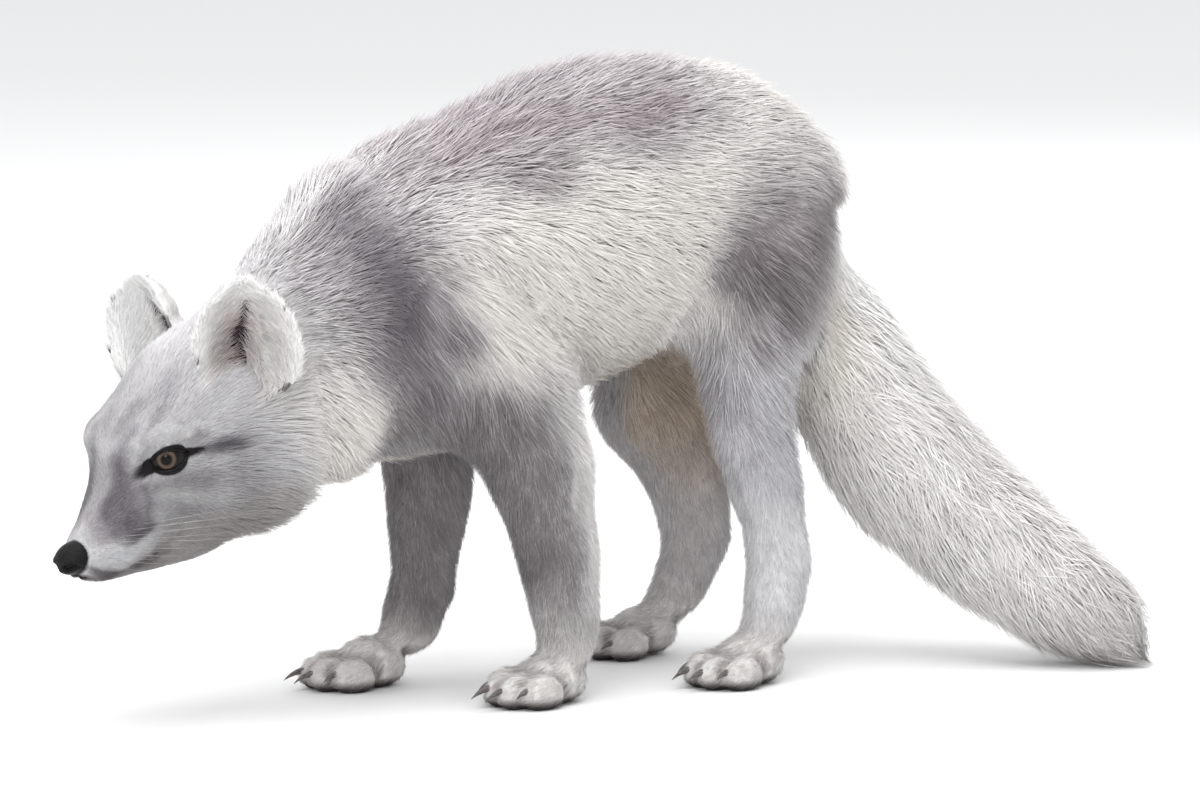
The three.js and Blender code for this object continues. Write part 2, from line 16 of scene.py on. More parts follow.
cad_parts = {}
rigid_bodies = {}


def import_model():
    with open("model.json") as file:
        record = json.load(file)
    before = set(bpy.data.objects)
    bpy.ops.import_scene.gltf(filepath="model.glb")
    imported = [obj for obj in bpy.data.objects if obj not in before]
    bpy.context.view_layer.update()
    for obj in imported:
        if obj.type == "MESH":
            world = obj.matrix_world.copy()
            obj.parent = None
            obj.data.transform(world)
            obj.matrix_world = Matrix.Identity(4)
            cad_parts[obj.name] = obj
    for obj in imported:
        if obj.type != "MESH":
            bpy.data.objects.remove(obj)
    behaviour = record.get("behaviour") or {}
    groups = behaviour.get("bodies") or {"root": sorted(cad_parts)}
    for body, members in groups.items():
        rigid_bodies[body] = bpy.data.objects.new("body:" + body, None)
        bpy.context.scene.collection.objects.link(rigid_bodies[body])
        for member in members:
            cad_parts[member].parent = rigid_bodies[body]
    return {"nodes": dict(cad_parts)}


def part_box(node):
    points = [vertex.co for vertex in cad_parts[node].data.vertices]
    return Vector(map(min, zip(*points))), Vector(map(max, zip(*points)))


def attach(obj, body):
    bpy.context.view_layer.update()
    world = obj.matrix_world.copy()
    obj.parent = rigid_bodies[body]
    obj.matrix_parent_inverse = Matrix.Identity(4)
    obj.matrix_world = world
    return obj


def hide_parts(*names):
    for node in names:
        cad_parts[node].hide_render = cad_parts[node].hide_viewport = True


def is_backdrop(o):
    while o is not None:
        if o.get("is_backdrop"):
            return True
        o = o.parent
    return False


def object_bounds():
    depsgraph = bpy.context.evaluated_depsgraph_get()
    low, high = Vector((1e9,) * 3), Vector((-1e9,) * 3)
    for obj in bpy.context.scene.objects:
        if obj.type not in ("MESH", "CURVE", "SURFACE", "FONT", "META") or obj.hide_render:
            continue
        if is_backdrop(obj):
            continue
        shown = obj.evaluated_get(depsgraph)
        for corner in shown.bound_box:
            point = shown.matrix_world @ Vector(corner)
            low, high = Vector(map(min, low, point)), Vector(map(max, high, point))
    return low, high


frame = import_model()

MM = 0.001
cad_low, cad_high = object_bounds()
random = np.random.default_rng(seed=11)
print("the solids' box:", [round(v, 3) for v in (*cad_low, *cad_high)])

# %% [markdown]
# ## The camera, the floor and the light
# A long lens from three metres sees the fox as a careful observer does. The floor is plain and pale. The
# light is that of a bright overcast sky: one very large soft lamp overhead, weaker ones from in front and
# from behind, and a pale world.
# %% Camera
VIEW_AZIMUTH = math.radians(57)
VIEW_ELEVATION = math.radians(7)
VIEW_DISTANCE = 3.0
LOOKED_AT = Vector((-0.0140, 0.0204, 0.1380))
SEEN_WIDTH = 0.5793  # across the picture at the point looked at
SENSOR = 36.0
FARTHEST_SEEN = 20  # metres

towards_camera = Vector((
    math.sin(VIEW_AZIMUTH) * math.cos(VIEW_ELEVATION),
    -math.cos(VIEW_AZIMUTH) * math.cos(VIEW_ELEVATION),
    math.sin(VIEW_ELEVATION),
))
camera_data = bpy.data.cameras.new("camera")
camera_data.sensor_width = SENSOR
camera_data.lens = SENSOR * VIEW_DISTANCE / SEEN_WIDTH
camera_data.clip_end = FARTHEST_SEEN
camera = bpy.data.objects.new("camera", camera_data)
bpy.context.scene.collection.objects.link(camera)
camera.location = LOOKED_AT + towards_camera * VIEW_DISTANCE
camera.rotation_euler = (-towards_camera).to_track_quat("-Z", "Y").to_euler()
bpy.context.scene.camera = camera
print("lens", round(camera_data.lens, 1), "mm")


# %% Floor and lamps
def node_material(name):
    material = bpy.data.materials.new(name)
    material.use_nodes = True
    return material, material.node_tree, material.node_tree.nodes["Principled BSDF"]


def select_only(*objects):
    bpy.ops.object.select_all(action="DESELECT")
    for piece in objects:
        piece.select_set(True)
    bpy.context.view_layer.objects.active = objects[0]


FLOOR_SIZE = 30
bpy.ops.object.select_all(action="DESELECT")
bpy.ops.mesh.primitive_plane_add(size=FLOOR_SIZE)
floor = bpy.context.active_object
floor.name = "floor"
floor_material, _, floor_shader = node_material("pale floor")
floor_shader.inputs["Base Color"].default_value = (0.80, 0.80, 0.80, 1)
floor_shader.inputs["Roughness"].default_value = 0.9
floor.data.materials.append(floor_material)
floor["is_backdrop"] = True


def soft_lamp(name, place, size, watts):
    lamp_data = bpy.data.lights.new(name, "AREA")
    lamp_data.shape = "DISK"
    lamp_data.size = size
    lamp_data.energy = watts
    lamp = bpy.data.objects.new(name, lamp_data)
    bpy.context.scene.collection.objects.link(lamp)
    lamp.location = place
    lamp.rotation_euler = (LOOKED_AT - Vector(place)).to_track_quat("-Z", "Y").to_euler()


soft_lamp("sky", (0.5, -0.4, 2.6), 2.4, 56)
soft_lamp("front", (2.2, -2.0, 1.2), 1.4, 30)
soft_lamp("back", (-1.6, 2.2, 1.8), 1.6, 17)
world = bpy.data.worlds.new("overcast")
world.use_nodes = True
world.node_tree.nodes["Background"].inputs["Color"].default_value = (0.985, 0.99, 1.0, 1)
world.node_tree.nodes["Background"].inputs["Strength"].default_value = 1.0
bpy.context.scene.world = world
bpy.context.scene.view_settings.view_transform = "Standard"
print("three lamps and an overcast world")


# %% [markdown]
# ## Places on the head
# Lids, lips and markings are easiest to shape in the head's own directions: forwards along the muzzle, to
# its left, and up. They are worked out from the frame: the line through both eyes gives left, and the nose
# gives forwards.
# %% The head's own frame
def node_centre(name):
    low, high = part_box(name)
    return (low + high) / 2


NOSE_BELOW_FORWARD = math.atan2(19, 57)  # the nose is 19 mm below the eyes and 57 mm before them
eyes_middle = (node_centre("eye_left") + node_centre("eye_right")) / 2
head_left = (node_centre("eye_left") - node_centre("eye_right")).normalized()
to_nose = node_centre("nose") - eyes_middle
head_forward = Matrix.Rotation(-NOSE_BELOW_FORWARD, 3, head_left) @ to_nose.normalized()
head_up = head_forward.cross(head_left)
head_axes = np.array([head_forward, head_left, head_up])
# Five millimetres before the eyes' middle and one above it, so that the eyes are at (-5, +-20.5, -1).
head_origin = np.array(eyes_middle + head_forward * 0.005 + head_up * 0.001)


def in_head(points):
    """Forward, left and up in millimetres."""
    return (np.asarray(points) - head_origin) @ head_axes.T / MM


def from_head(places):
    return np.asarray(places) * MM @ head_axes + head_origin


def mirrored(places):
    """The same places, with those on the head's right moved across to its left."""
    return np.abs(places) * [0, 1, 0] + places * [1, 0, 1]


eyes_in_head = in_head([node_centre("eye_left"), node_centre("eye_right")])
print("eyes in the head's frame:", eyes_in_head.round(1).tolist())
print("nose in the head's frame:", in_head([node_centre("nose")]).round(1).tolist())

# %% [markdown]
# ## One skin
# The solids of the flesh are cut where a person would name the parts, and the cuts must not show. Copies of
# them are joined and grown by almost a millimetre, and the thin ears by a little more, so that the cuts
# close. Then a voxel remesh makes one even surface. The eyes and the nose are filled in too, because the
# lids and the nose pad are shaped later.
# %% Join the flesh
FLESH = [
    "trunk", "neck", "head", "tail", "ear_left", "ear_right",
    "foreleg_left", "foreleg_right", "hindleg_left", "hindleg_right",
    "forepaw_left", "forepaw_right", "hindpaw_left", "hindpaw_right",
]
FILLED_IN = ["eye_left", "eye_right", "nose"]
CUT_CLOSED_BY = 0.9 * MM
SKIN_VOXEL = 1.7 * MM


def apply_modifier(piece, kind, **settings):
    select_only(piece)
    modifier = piece.modifiers.new(kind.lower(), kind)
    for name, value in settings.items():
        setattr(modifier, name, value)
    bpy.ops.object.modifier_apply(modifier=modifier.name)


def joined_copies(names, joined_name):
    copies = []
    for name in names:
        copy = bpy.data.objects.new(name + "_copy", frame["nodes"][name].data.copy())
        bpy.context.scene.collection.objects.link(copy)
        copies.append(copy)
    select_only(*copies)
    bpy.ops.object.join()
    joined = bpy.context.active_object
    joined.name = joined_name
    bpy.ops.object.mode_set(mode="EDIT")
    bpy.ops.mesh.select_all(action="SELECT")
    bpy.ops.mesh.remove_doubles(threshold=1e-6)
    bpy.ops.object.mode_set(mode="OBJECT")
    joined.data.materials.clear()
    return joined


EARS = ["ear_left", "ear_right"]
EARS_THICKER_BY = 1.4 * MM
skin = joined_copies([name for name in FLESH if name not in EARS] + FILLED_IN, "skin")
apply_modifier(skin, "DISPLACE", strength=CUT_CLOSED_BY, mid_level=0)
ear_copies = joined_copies(EARS, "ear_copies")
apply_modifier(ear_copies, "DISPLACE", strength=EARS_THICKER_BY, mid_level=0)
select_only(skin, ear_copies)
bpy.ops.object.join()
apply_modifier(skin, "REMESH", mode="VOXEL", voxel_size=SKIN_VOXEL)

# Hollows left shut inside the body would push out later, so only what hangs together with the back stays.
top_point = max(skin.data.vertices, key=lambda v: v.co.z).index
select_only(skin)
bpy.ops.object.mode_set(mode="EDIT")
bpy.ops.mesh.select_mode(type="VERT")
bpy.ops.mesh.select_all(action="DESELECT")
bpy.ops.object.mode_set(mode="OBJECT")
skin.data.vertices[top_point].select = True
bpy.ops.object.mode_set(mode="EDIT")
bpy.ops.mesh.select_linked()
bpy.ops.mesh.select_all(action="INVERT")
bpy.ops.mesh.delete(type="VERT")
bpy.ops.object.mode_set(mode="OBJECT")
print("skin:", len(skin.data.vertices), "vertices")


# %% [markdown]
# ## Working on many points at once
# The skin has tens of thousands of points. Lists of them are read into arrays, changed by a formula and
# written back, which is what a sculptor's brush does too. Taking the mean over each point's neighbours
# makes a surface, or any value spread over it, smoother.
# %% Helpers for arrays
def points_of(mesh):
    points = np.empty(len(mesh.vertices) * 3)
    mesh.vertices.foreach_get("co", points)
    return points.reshape(-1, 3)


def move_points(mesh, points):
    mesh.vertices.foreach_set("co", points.ravel())
    mesh.update()


def normals_of(mesh):
    normals = np.empty(len(mesh.vertices) * 3)
    mesh.vertex_normals.foreach_get("vector", normals)
    return normals.reshape(-1, 3)


class Neighbours:
    """Who is joined to whom by an edge, and means over them."""

    def __init__(self, mesh):
        edges = np.empty(len(mesh.edges) * 2, np.int64)
        mesh.edges.foreach_get("vertices", edges)
        edges = edges.reshape(-1, 2)
        self.giver = np.concatenate([edges[:, 0], edges[:, 1]])
        self.taker = np.concatenate([edges[:, 1], edges[:, 0]])
        self.size = len(mesh.vertices)
        self.count = np.maximum(np.bincount(self.taker, minlength=self.size), 1)

    def mean(self, values):
        sums = [
            np.bincount(self.taker, weights=column[self.giver], minlength=self.size)
            for column in values.reshape(self.size, -1).T
        ]
        return (np.stack(sums, 1) / self.count[:, None]).reshape(values.shape)

    def spread(self, values, rounds):
        for _ in range(rounds):
            values = 0.5 * values + 0.5 * self.mean(values)
        return values


SMOOTH_IN, SMOOTH_OUT = 0.50, 0.53


def smooth_keeping_size(points, neighbours, strength, rounds):
    """Flattens facets with alternate steps in and out, so that a thin part doesn't shrink."""
    for _ in range(rounds):
        points = points + SMOOTH_IN * strength * (neighbours.mean(points) - points)
        points = points - SMOOTH_OUT * strength * (neighbours.mean(points) - points)
    return points


def step(low, high, x):
    """0 below low, 1 above high, smooth between; falls instead where low is above high."""
    t = np.clip((x - low) / (high - low), 0, 1)
    return t * t * (3 - 2 * t)


def unit(vectors):
    return vectors / np.maximum(np.linalg.norm(vectors, axis=-1, keepdims=True), 1e-12)


# %% Which part each point belongs to
flesh_points, flesh_faces, face_part = [], [], []
for part, name in enumerate(FLESH):
    mesh = frame["nodes"][name].data
    first = len(flesh_points)
    flesh_points += [v.co.copy() for v in mesh.vertices]
    flesh_faces += [[first + i for i in p.vertices] for p in mesh.polygons]
    face_part += [part] * len(mesh.polygons)
flesh_tree = BVHTree.FromPolygons(flesh_points, flesh_faces)


def part_of(points):
    return np.array([face_part[flesh_tree.find_nearest(p)[2]] for p in points])


print(len(flesh_faces), "faces of flesh")

# %% A smooth surface, with fewer faces where the coat is long
SMOOTHED = {"ear_left": 0.5, "ear_right": 0.5, "head": 0.9}
SMOOTH_ROUNDS = 90
# The skin keeps all its faces on the paws, and on the head from this many millimetres forwards.
HEAD_BACK = -84
PAWS_BELOW = 30 * MM
TAIL_BEHIND = 0.13
BODY_KEPT = 0.30


def subdivide_faces(piece, chosen):
    """Cuts each chosen face in four. chosen takes the faces' centres and says which."""
    mesh = piece.data
    centres = np.empty(len(mesh.polygons) * 3)
    mesh.polygons.foreach_get("center", centres)
    picked = chosen(centres.reshape(-1, 3))
    select_only(piece)
    bpy.ops.object.mode_set(mode="EDIT")
    bpy.ops.mesh.select_mode(type="FACE")
    bpy.ops.mesh.select_all(action="DESELECT")
    bpy.ops.object.mode_set(mode="OBJECT")
    mesh.polygons.foreach_set("select", picked)
    bpy.ops.object.mode_set(mode="EDIT")
    bpy.ops.mesh.subdivide(number_cuts=1)
    bpy.ops.object.mode_set(mode="OBJECT")


neighbours = Neighbours(skin.data)
points = points_of(skin.data)
part = part_of(points)
strength = np.array([SMOOTHED.get(name, 0.6 if "paw" in name else 1.0) for name in FLESH])[part]
strength = neighbours.spread(strength, 12)[:, None]
points = smooth_keeping_size(points, neighbours, strength, SMOOTH_ROUNDS)
move_points(skin.data, points)

on_paws = (points[:, 2] < PAWS_BELOW) & (points[:, 1] < TAIL_BEHIND)
kept_fine = (in_head(points)[:, 0] > HEAD_BACK) | on_paws
body_group = skin.vertex_groups.new(name="body")
body_group.add(np.flatnonzero(~kept_fine).tolist(), 1.0, "REPLACE")
apply_modifier(skin, "DECIMATE", ratio=BODY_KEPT, vertex_group="body")
skin.vertex_groups.clear()
print("smooth skin:", len(skin.data.vertices), "vertices")

# %% [markdown]
# ## How deep the coat is
# The skin lies under the solids' surface by the depth of the coat: over a centimetre on the body, a
# millimetre on the muzzle. Each part gets its values, and spreading them over the surface lets one part
# pass into the next. A thin part can't give up as much, so the depth is also kept to a share of the room
# inside: the largest ball that fits.
# %% The coat's depth
ROOM_SHARE = 0.27  # of the room inside the body, at most
LARGEST_BALL = 35 * MM
BALL_IN_THE_OPEN = 20 * MM
BALL_ROUNDS = 5
# In millimetres. The legs' coat gets longer upwards, the head's backwards and down the cheeks.
COAT_DEPTHS = {"trunk": 11, "neck": 11.5, "tail": 15, "paw": 1.4, "ear": 0.2}
neighbours = Neighbours(skin.data)
points = points_of(skin.data)
part = part_of(points)
is_part = {name: part == i for i, name in enumerate(FLESH)}
head_places = in_head(points)


def parts_like(word):
    return np.any([is_part[name] for name in FLESH if word in name], axis=0)


def room_inside(piece):
    """At each point, the width in millimetres of the largest ball that touches it from inside."""
    tree = BVHTree.FromObject(piece, bpy.context.evaluated_depsgraph_get())
    rooms = []
    for place, normal in zip(points_of(piece.data).tolist(), normals_of(piece.data).tolist()):
        place, normal = Vector(place), Vector(normal)
        way = tree.ray_cast(place - normal * 0.3 * MM, -normal)[3]
        radius = min(LARGEST_BALL, 0.5 * way if way else BALL_IN_THE_OPEN)
        for _ in range(BALL_ROUNDS):
            nearest = tree.find_nearest(place - normal * radius, 0.9 * radius)[0]
            if nearest is None:
                break
            back = place - nearest
            if back.dot(normal) > 0:
                radius = max(back.length_squared / (2 * max(back.dot(normal), 1e-6)), 1 * MM)
        rooms.append(2 * radius / MM)
    return np.array(rooms)


coat_depth = np.zeros(len(points))
for word, depth_there in COAT_DEPTHS.items():
    coat_depth[parts_like(word)] = depth_there
legs = parts_like("leg")
coat_depth[legs] = (2.4 + 8.5 * step(95, 200, points[:, 2] / MM))[legs]
forward, beside, up = mirrored(head_places).T
back = step(10, -65, forward)
cheek = np.clip(step(16, 36, beside) * step(8, -20, up) + step(-28, -52, up), 0, 1)
coat_depth[is_part["head"]] = (0.9 + 2.6 * back + 8.0 * back * cheek)[is_part["head"]]

room = neighbours.spread(room_inside(skin), 10)
depth = neighbours.spread(np.minimum(coat_depth, ROOM_SHARE * room), 22)
# The paws' undersides stay close to the floor. The tail's end, further back, isn't one of them.
on_floor = step(12, 1, points[:, 2] / MM) * step(110, 90, points[:, 1] / MM + 25 * (points[:, 0] < -0.03))
depth = depth * (1 - 0.90 * on_floor) + (CUT_CLOSED_BY / MM - 0.3) * (1 - 0.5 * on_floor)
print("coat depth from", depth.min().round(1), "to", depth.max().round(1), "mm")

# %% Sink the skin under the coat
SINK_STEPS = 12
FOLD_ROUNDS = 60
TOE_GAP_ROUNDS = 2
LOWEST = 0.1 * MM  # above the floor
first_normals = normals_of(skin.data)
for _ in range(SINK_STEPS):
    now = unit(neighbours.spread(normals_of(skin.data), 2))
    # A point that has turned over doesn't sink any more: it only follows its neighbours.
    steady = step(0.2, 0.6, (now * first_normals).sum(1))
    points = points - now * (steady * depth * MM / SINK_STEPS)[:, None]
    ease = np.maximum(0.20 * step(2, 7, depth), 0.8 * (1 - steady))[:, None]
    points = points + ease * (neighbours.mean(points) - points)
    move_points(skin.data, points)

# Normals near a fold point many ways, so their mean is short. There the skin is relaxed.
bundled = np.linalg.norm(neighbours.spread(normals_of(skin.data), 6), axis=1)
folds = step(0.80, 0.55, bundled) * ~(is_part["head"] | parts_like("ear") | parts_like("paw"))
folds = np.clip(3 * neighbours.spread(folds, 5), 0, 0.9)[:, None]
for _ in range(FOLD_ROUNDS):
    points = points + folds * (neighbours.mean(points) - points)
points[:, 2] = np.maximum(points[:, 2], LOWEST)
move_points(skin.data, points)

# The gaps between the toes are pressed in a little more, on the front half of each paw.
hollow = ((neighbours.mean(points) - points) * normals_of(skin.data)).sum(1) / MM
gaps = neighbours.spread(step(0.02, 0.10, neighbours.spread(hollow, 3)), 2)
before_heel = step(-0.02, -0.05, points[:, 1] - np.where(points[:, 1] < 0, -0.03, 0.10))
toe_gaps = gaps * before_heel * (points[:, 2] < PAWS_BELOW)
for _ in range(TOE_GAP_ROUNDS):
    points = points - normals_of(skin.data) * (0.5 * MM * toe_gaps)[:, None]
    points[:, 2] = np.maximum(points[:, 2], LOWEST)
    move_points(skin.data, points)
print("skin sunk; lowest point", (points[:, 2].min() / MM).round(2), "mm")

# %% [markdown]
# ## The face
# Lids, lips and the nose's edge need much finer faces than the body, so only there each face is cut in four
# once more, and round the eyes twice. The new points lie on the flat of the old faces, so they are smoothed
# first.
# %% Finer faces on the face
EYE_PLACE = np.array([-5.0, 20.5, -1.0])  # in the head's frame, for the left eye
EYE_RADIUS = 9.5


def eye_place(side):
    """The middle of an eye, in the head's frame.

    Here and below, side is 1 on the left and -1 on the right.
    """
    return EYE_PLACE * [1, side, 1]


def from_eye(places):
    """Distance to the nearer eye's middle, in millimetres."""
    return np.linalg.norm(mirrored(places) - EYE_PLACE, axis=1)


def on_muzzle(places):
    return (places[:, 0] > 2) & (places[:, 2] < -6)


subdivide_faces(skin, lambda c: (from_eye(in_head(c)) < 19) | on_muzzle(in_head(c)))
subdivide_faces(skin, lambda c: from_eye(in_head(c)) < 16.5)
neighbours = Neighbours(skin.data)
points = points_of(skin.data)
head_places = in_head(points)
fine = step(-50, -35, head_places[:, 0])[:, None]
points = smooth_keeping_size(points, neighbours, 0.9 * fine, 10)
head_places = in_head(points)
print("skin with a fine face:", len(points), "vertices")

# %% [markdown]
# ## Lids
# A fox's lids lie on the ball of the eye like a second, slightly larger ball, with an almond-shaped
# opening. So each point near the eye is moved along the line from the eye's middle: outside the opening to
# just proud of the ball, inside it to well behind the ball, where it doesn't show. Two curves give the
# almond, in the plane that faces the eye.
# %% The shape of the opening
EYE_OUTWARDS = [0.574, 0.819, 0.10]
EYE_SLANT = math.radians(-5)
INNER_CORNER = (-9.6, 0.2)  # along, towards the ear, and above the eye's middle, in millimetres
OUTER_CORNER = (9.6, -0.5)
UPPER_LID = [(-6.4, 6.4), (3.2, 8.4)]  # the curves' two handles
LOWER_LID = [(5.6, -5.8), (-4.2, -4.8)]


def bezier(start, handles, end, count):
    t = np.linspace(0, 1, count, endpoint=False)[:, None]
    corners = np.array([start, *handles, end], float)
    weights = [(1 - t) ** 3, 3 * t * (1 - t) ** 2, 3 * t * t * (1 - t), t ** 3]
    return sum(w * c for w, c in zip(weights, corners))


opening = np.concatenate([
    bezier(INNER_CORNER, UPPER_LID, OUTER_CORNER, 40),
    bezier(OUTER_CORNER, LOWER_LID, INNER_CORNER, 40),
])


def eye_axes(side):
    """Along towards the ear, above and outwards, as rows in the head's frame."""
    outwards = unit(np.array(EYE_OUTWARDS) * [1, side, 1])
    level = math.cos(EYE_SLANT)
    along = np.array([-level * EYE_OUTWARDS[1], side * level * EYE_OUTWARDS[0], math.sin(EYE_SLANT)])
    along = unit(along - outwards * (along @ outwards))
    return np.array([along, side * np.cross(outwards, along), outwards])


def in_eye(places, side):
    return (places - eye_place(side)) @ eye_axes(side).T


def from_line(places, corners, widths=None):
    """Distance to a line through corners; with widths, the distance is less by the width there."""
    corners = np.asarray(corners, float)
    widths = np.zeros(len(corners)) if widths is None else np.asarray(widths, float)
    best = np.full(len(places), np.inf)
    for a, b, wide_a, wide_b in zip(corners[:-1], corners[1:], widths[:-1], widths[1:]):
        t = np.clip((places - a) @ (b - a) / max((b - a) @ (b - a), 1e-9), 0, 1)
        away = np.linalg.norm(places - a - t[:, None] * (b - a), axis=1)
        best = np.minimum(best, away - wide_a - t * (wide_b - wide_a))
    return best


def from_opening(flat):
    """Distance to the opening's edge, below zero inside it."""
    away = from_line(flat, np.vstack([opening, opening[:1]]))
    inside = np.zeros(len(flat), bool)
    for a, b in zip(opening, np.roll(opening, -1, 0)):
        crosses = (a[1] > flat[:, 1]) != (b[1] > flat[:, 1])
        slope = (b[0] - a[0]) / (b[1] - a[1] if b[1] != a[1] else 1e-9)
        inside ^= crosses & (flat[:, 0] < a[0] + slope * (flat[:, 1] - a[1]))
    return np.where(inside, -away, away)


print("eye opening", np.ptp(opening, axis=0).round(1).tolist(), "mm")

# %% Lay the lids on the eyeballs
LID_PROUD = 0.5
HOLLOW = 2.6  # how far behind the ball's surface the skin goes inside the opening
FAR_AWAY = 99.0
lid_distance = np.full(len(points), FAR_AWAY)
for side in (1, -1):
    local = in_eye(head_places, side)
    radius = np.linalg.norm(local, axis=1)
    near = np.flatnonzero((local[:, 2] > -1) & (radius < 24))
    edge = from_opening(local[near, :2])
    lid = EYE_RADIUS + LID_PROUD + 0.10 * np.clip(edge, 0, 9)
    behind = EYE_RADIUS - HOLLOW
    wanted = behind + (lid - behind) * step(-0.8, 0.15, edge)
    hold = step(8.5, 2.2, edge)
    moved = local[near] * ((1 - hold) + hold * wanted / radius[near])[:, None]
    head_places[near] = moved @ eye_axes(side) + eye_place(side)
    lid_distance[near] = np.minimum(lid_distance[near], edge)
around = step(0.6, 1.6, lid_distance) * step(12, 7, lid_distance)
for _ in range(4):
    head_places += (0.5 * around)[:, None] * (neighbours.mean(head_places) - head_places)
print("points in the openings:", int((lid_distance < 0).sum()))

# %% [markdown]
# ## Brow, mouth and muzzle
# These are strokes of a soft brush: a line through a few corners, a width and a height. Above zero the skin
# swells along its normal, below zero it sinks, and a narrow deep stroke is the line of the mouth.
# %% Strokes of the brush
MOUTH_LINE = [
    (55, 0, -28), (50, 5.5, -33.5), (43, 8.5, -36.2), (33, 9.5, -39),
    (24, 11.2, -40.2), (14, 13.8, -39.6), (6, 16.2, -38.6), (1, 18.5, -36),
]
BRUSH_STROKES = [  # corners, widths, height and softness
    ([(4, 18, 11), (-8, 27, 10.5), (-17, 32, 6)], [1, 2, 1], 1.1, 6),  # the brow
    ([(9, 20, -7), (-2, 29, -13), (-14, 36, -10)], [1, 2, 1], -0.7, 5),  # under the eye
    ([(44, 9, -25), (32, 13, -28)], [2, 3], 0.9, 6),  # the whiskers' pad
    (MOUTH_LINE, [0.6, 0.5, 0.4, 0.4, 0.3, 0.3, 0.2, 0], -1.3, 1.3),
]
NOSE_PLACE = np.array([52.0, 0.0, -20.0])
NOSE_RADII = np.array([9.0, 8.4, 7.2])
BEHIND_PAD = 0.78  # of the pad's radii
PAD_ROOM = 1.16


def brushed(places, normals, corners, widths, height, soft):
    """Both sides of the head are brushed alike."""
    mask = step(soft, 0, from_line(mirrored(places), corners, widths))
    return places + normals * (height * mask)[:, None]


move_points(skin.data, from_head(head_places))
head_normals = normals_of(skin.data) @ head_axes.T
for stroke in BRUSH_STROKES:
    head_places = brushed(head_places, head_normals, *stroke)
move_points(skin.data, from_head(head_places))
mouth_distance = from_line(mirrored(head_places), MOUTH_LINE)
from_nose = np.linalg.norm((head_places - NOSE_PLACE) / NOSE_RADII, axis=1)
pressed = BEHIND_PAD + (from_nose - BEHIND_PAD) * step(0.92, PAD_ROOM, from_nose)
behind_pad = np.minimum(pressed / np.maximum(from_nose, 0.1), 1)
behind_pad = np.where(from_nose < PAD_ROOM, behind_pad, 1)
head_places = NOSE_PLACE + (head_places - NOSE_PLACE) * behind_pad[:, None]
move_points(skin.data, from_head(head_places))
print("brushed the brow, the cheek, the whisker pads and the mouth, and made room for the nose pad")

# %% [markdown]
# ## Bare places, and how deep the coat is now
# Black bare skin rims the eyes, runs on as a tear line and behind the eye, and lines the lips. The soles
# are bare as well. The coat's depth is now measured: it is the distance from the skin back out to the
# solids' surface.
# %% Bare skin
RIM_WIDTH = 1.8
TEAR_LINE = [(-8.5, 0.5), (-12.0, -0.2), (-15.6, -1.3)]
OUTER_TAIL = [(8.8, -0.5), (12.5, -1.0), (17.0, -1.6)]
neighbours = Neighbours(skin.data)
points = points_of(skin.data)
normals = normals_of(skin.data)
head_places = in_head(points)
part = part_of(points)
is_part = {name: part == i for i, name in enumerate(FLESH)}
ears = parts_like("ear_")
height = points[:, 2] / MM

bare = step(RIM_WIDTH + 0.7, RIM_WIDTH - 0.3, lid_distance)
for side in (1, -1):
    local = in_eye(head_places, side)
    near = (local[:, 2] > -2) & (np.linalg.norm(local, axis=1) < 26)
    tear = step(0.8, -0.2, from_line(local[:, :2], TEAR_LINE, [3.2, 2.4, 0.6]))
    tail_of_eye = step(0.8, -0.2, from_line(local[:, :2], OUTER_TAIL, [1.8, 1.0, 0.4]))
    bare = np.maximum(bare, np.maximum(tear, tail_of_eye) * near)
lips = step(1.5, 0.7, mouth_distance)
soles = parts_like("paw") * step(3.0, 1.8, height) * step(-0.3, -0.6, normals[:, 2])
bare = np.maximum(bare, np.maximum(lips, step(1.15, 1.07, from_nose)))
depth = np.array([flesh_tree.find_nearest(p)[3] for p in points.tolist()]) / MM
depth = neighbours.spread(depth, 4)
print("bare points:", int((bare > 0.5).sum()), " deepest coat:", depth.max().round(1), "mm")

# %% [markdown]
# ## The ears' hollows
# An ear is a cupped leaf. Its hollow gets its depth here, in the ear's own directions: across from edge to
# edge, up from root to tip, and forwards out of the hollow. The leaf is thin, so its front and back bend
# back together. Down the middle runs a slit into the head, painted nearly black for its shade, and hair
# from the two edges grows across it later. A band along the hollow is marked for painted shade as well.
# %% Press in the ears
EAR_PLACES = {  # root, tip, and where the hollow faces, in the head's frame
    "ear_left": ([-55, 30, 0], [-69, 42, 52], [0.66, 0.75, 0]),
    "ear_right": ([-54, -33, 0], [-73, -44, 44], [0.995, 0.1, 0]),
}
EAR_HALF_WIDTH = 24
EAR_LENGTH = 54
SLIT_LINE = [(-6, 8), (-3, 24), (2, 42)]
SLIT_WIDTHS = [2.4, 3.8, 1.0]
HOLLOW_LINE = [(-7, 14), (-3, 30)]
HOLLOW_WIDTHS = [2, 1]


def ear_axes(name):
    """Outwards from the head, up and forwards, as rows in the head's frame, and the ear's height."""
    root, tip, facing = np.array(EAR_PLACES[name], float)
    ear_height = np.linalg.norm(tip - root)
    up = (tip - root) / ear_height
    facing = unit(facing - up * (facing @ up))
    outwards = np.cross(up, facing) * (1 if "left" in name else -1)
    return np.array([outwards, up, facing]), ear_height


def in_ear(places, name):
    """Across from -1 to 1, up from 0 to 1, and millimetres in front of the hollow's face."""
    axes, ear_height = ear_axes(name)
    local = (places - EAR_PLACES[name][0]) @ axes.T
    v = local[:, 1] / ear_height
    taper = np.sqrt(np.clip(1 - ((v - 0.42) / 0.6) ** 2, 0.05, 1))
    s = local[:, 0] / (EAR_HALF_WIDTH * taper)
    face_of_hollow = 15 * taper * (s * s - 0.6) + 4.5 * (1 - 0.45 * v) * (1 - 0.6 * s * s)
    return s, v, local[:, 2] - face_of_hollow


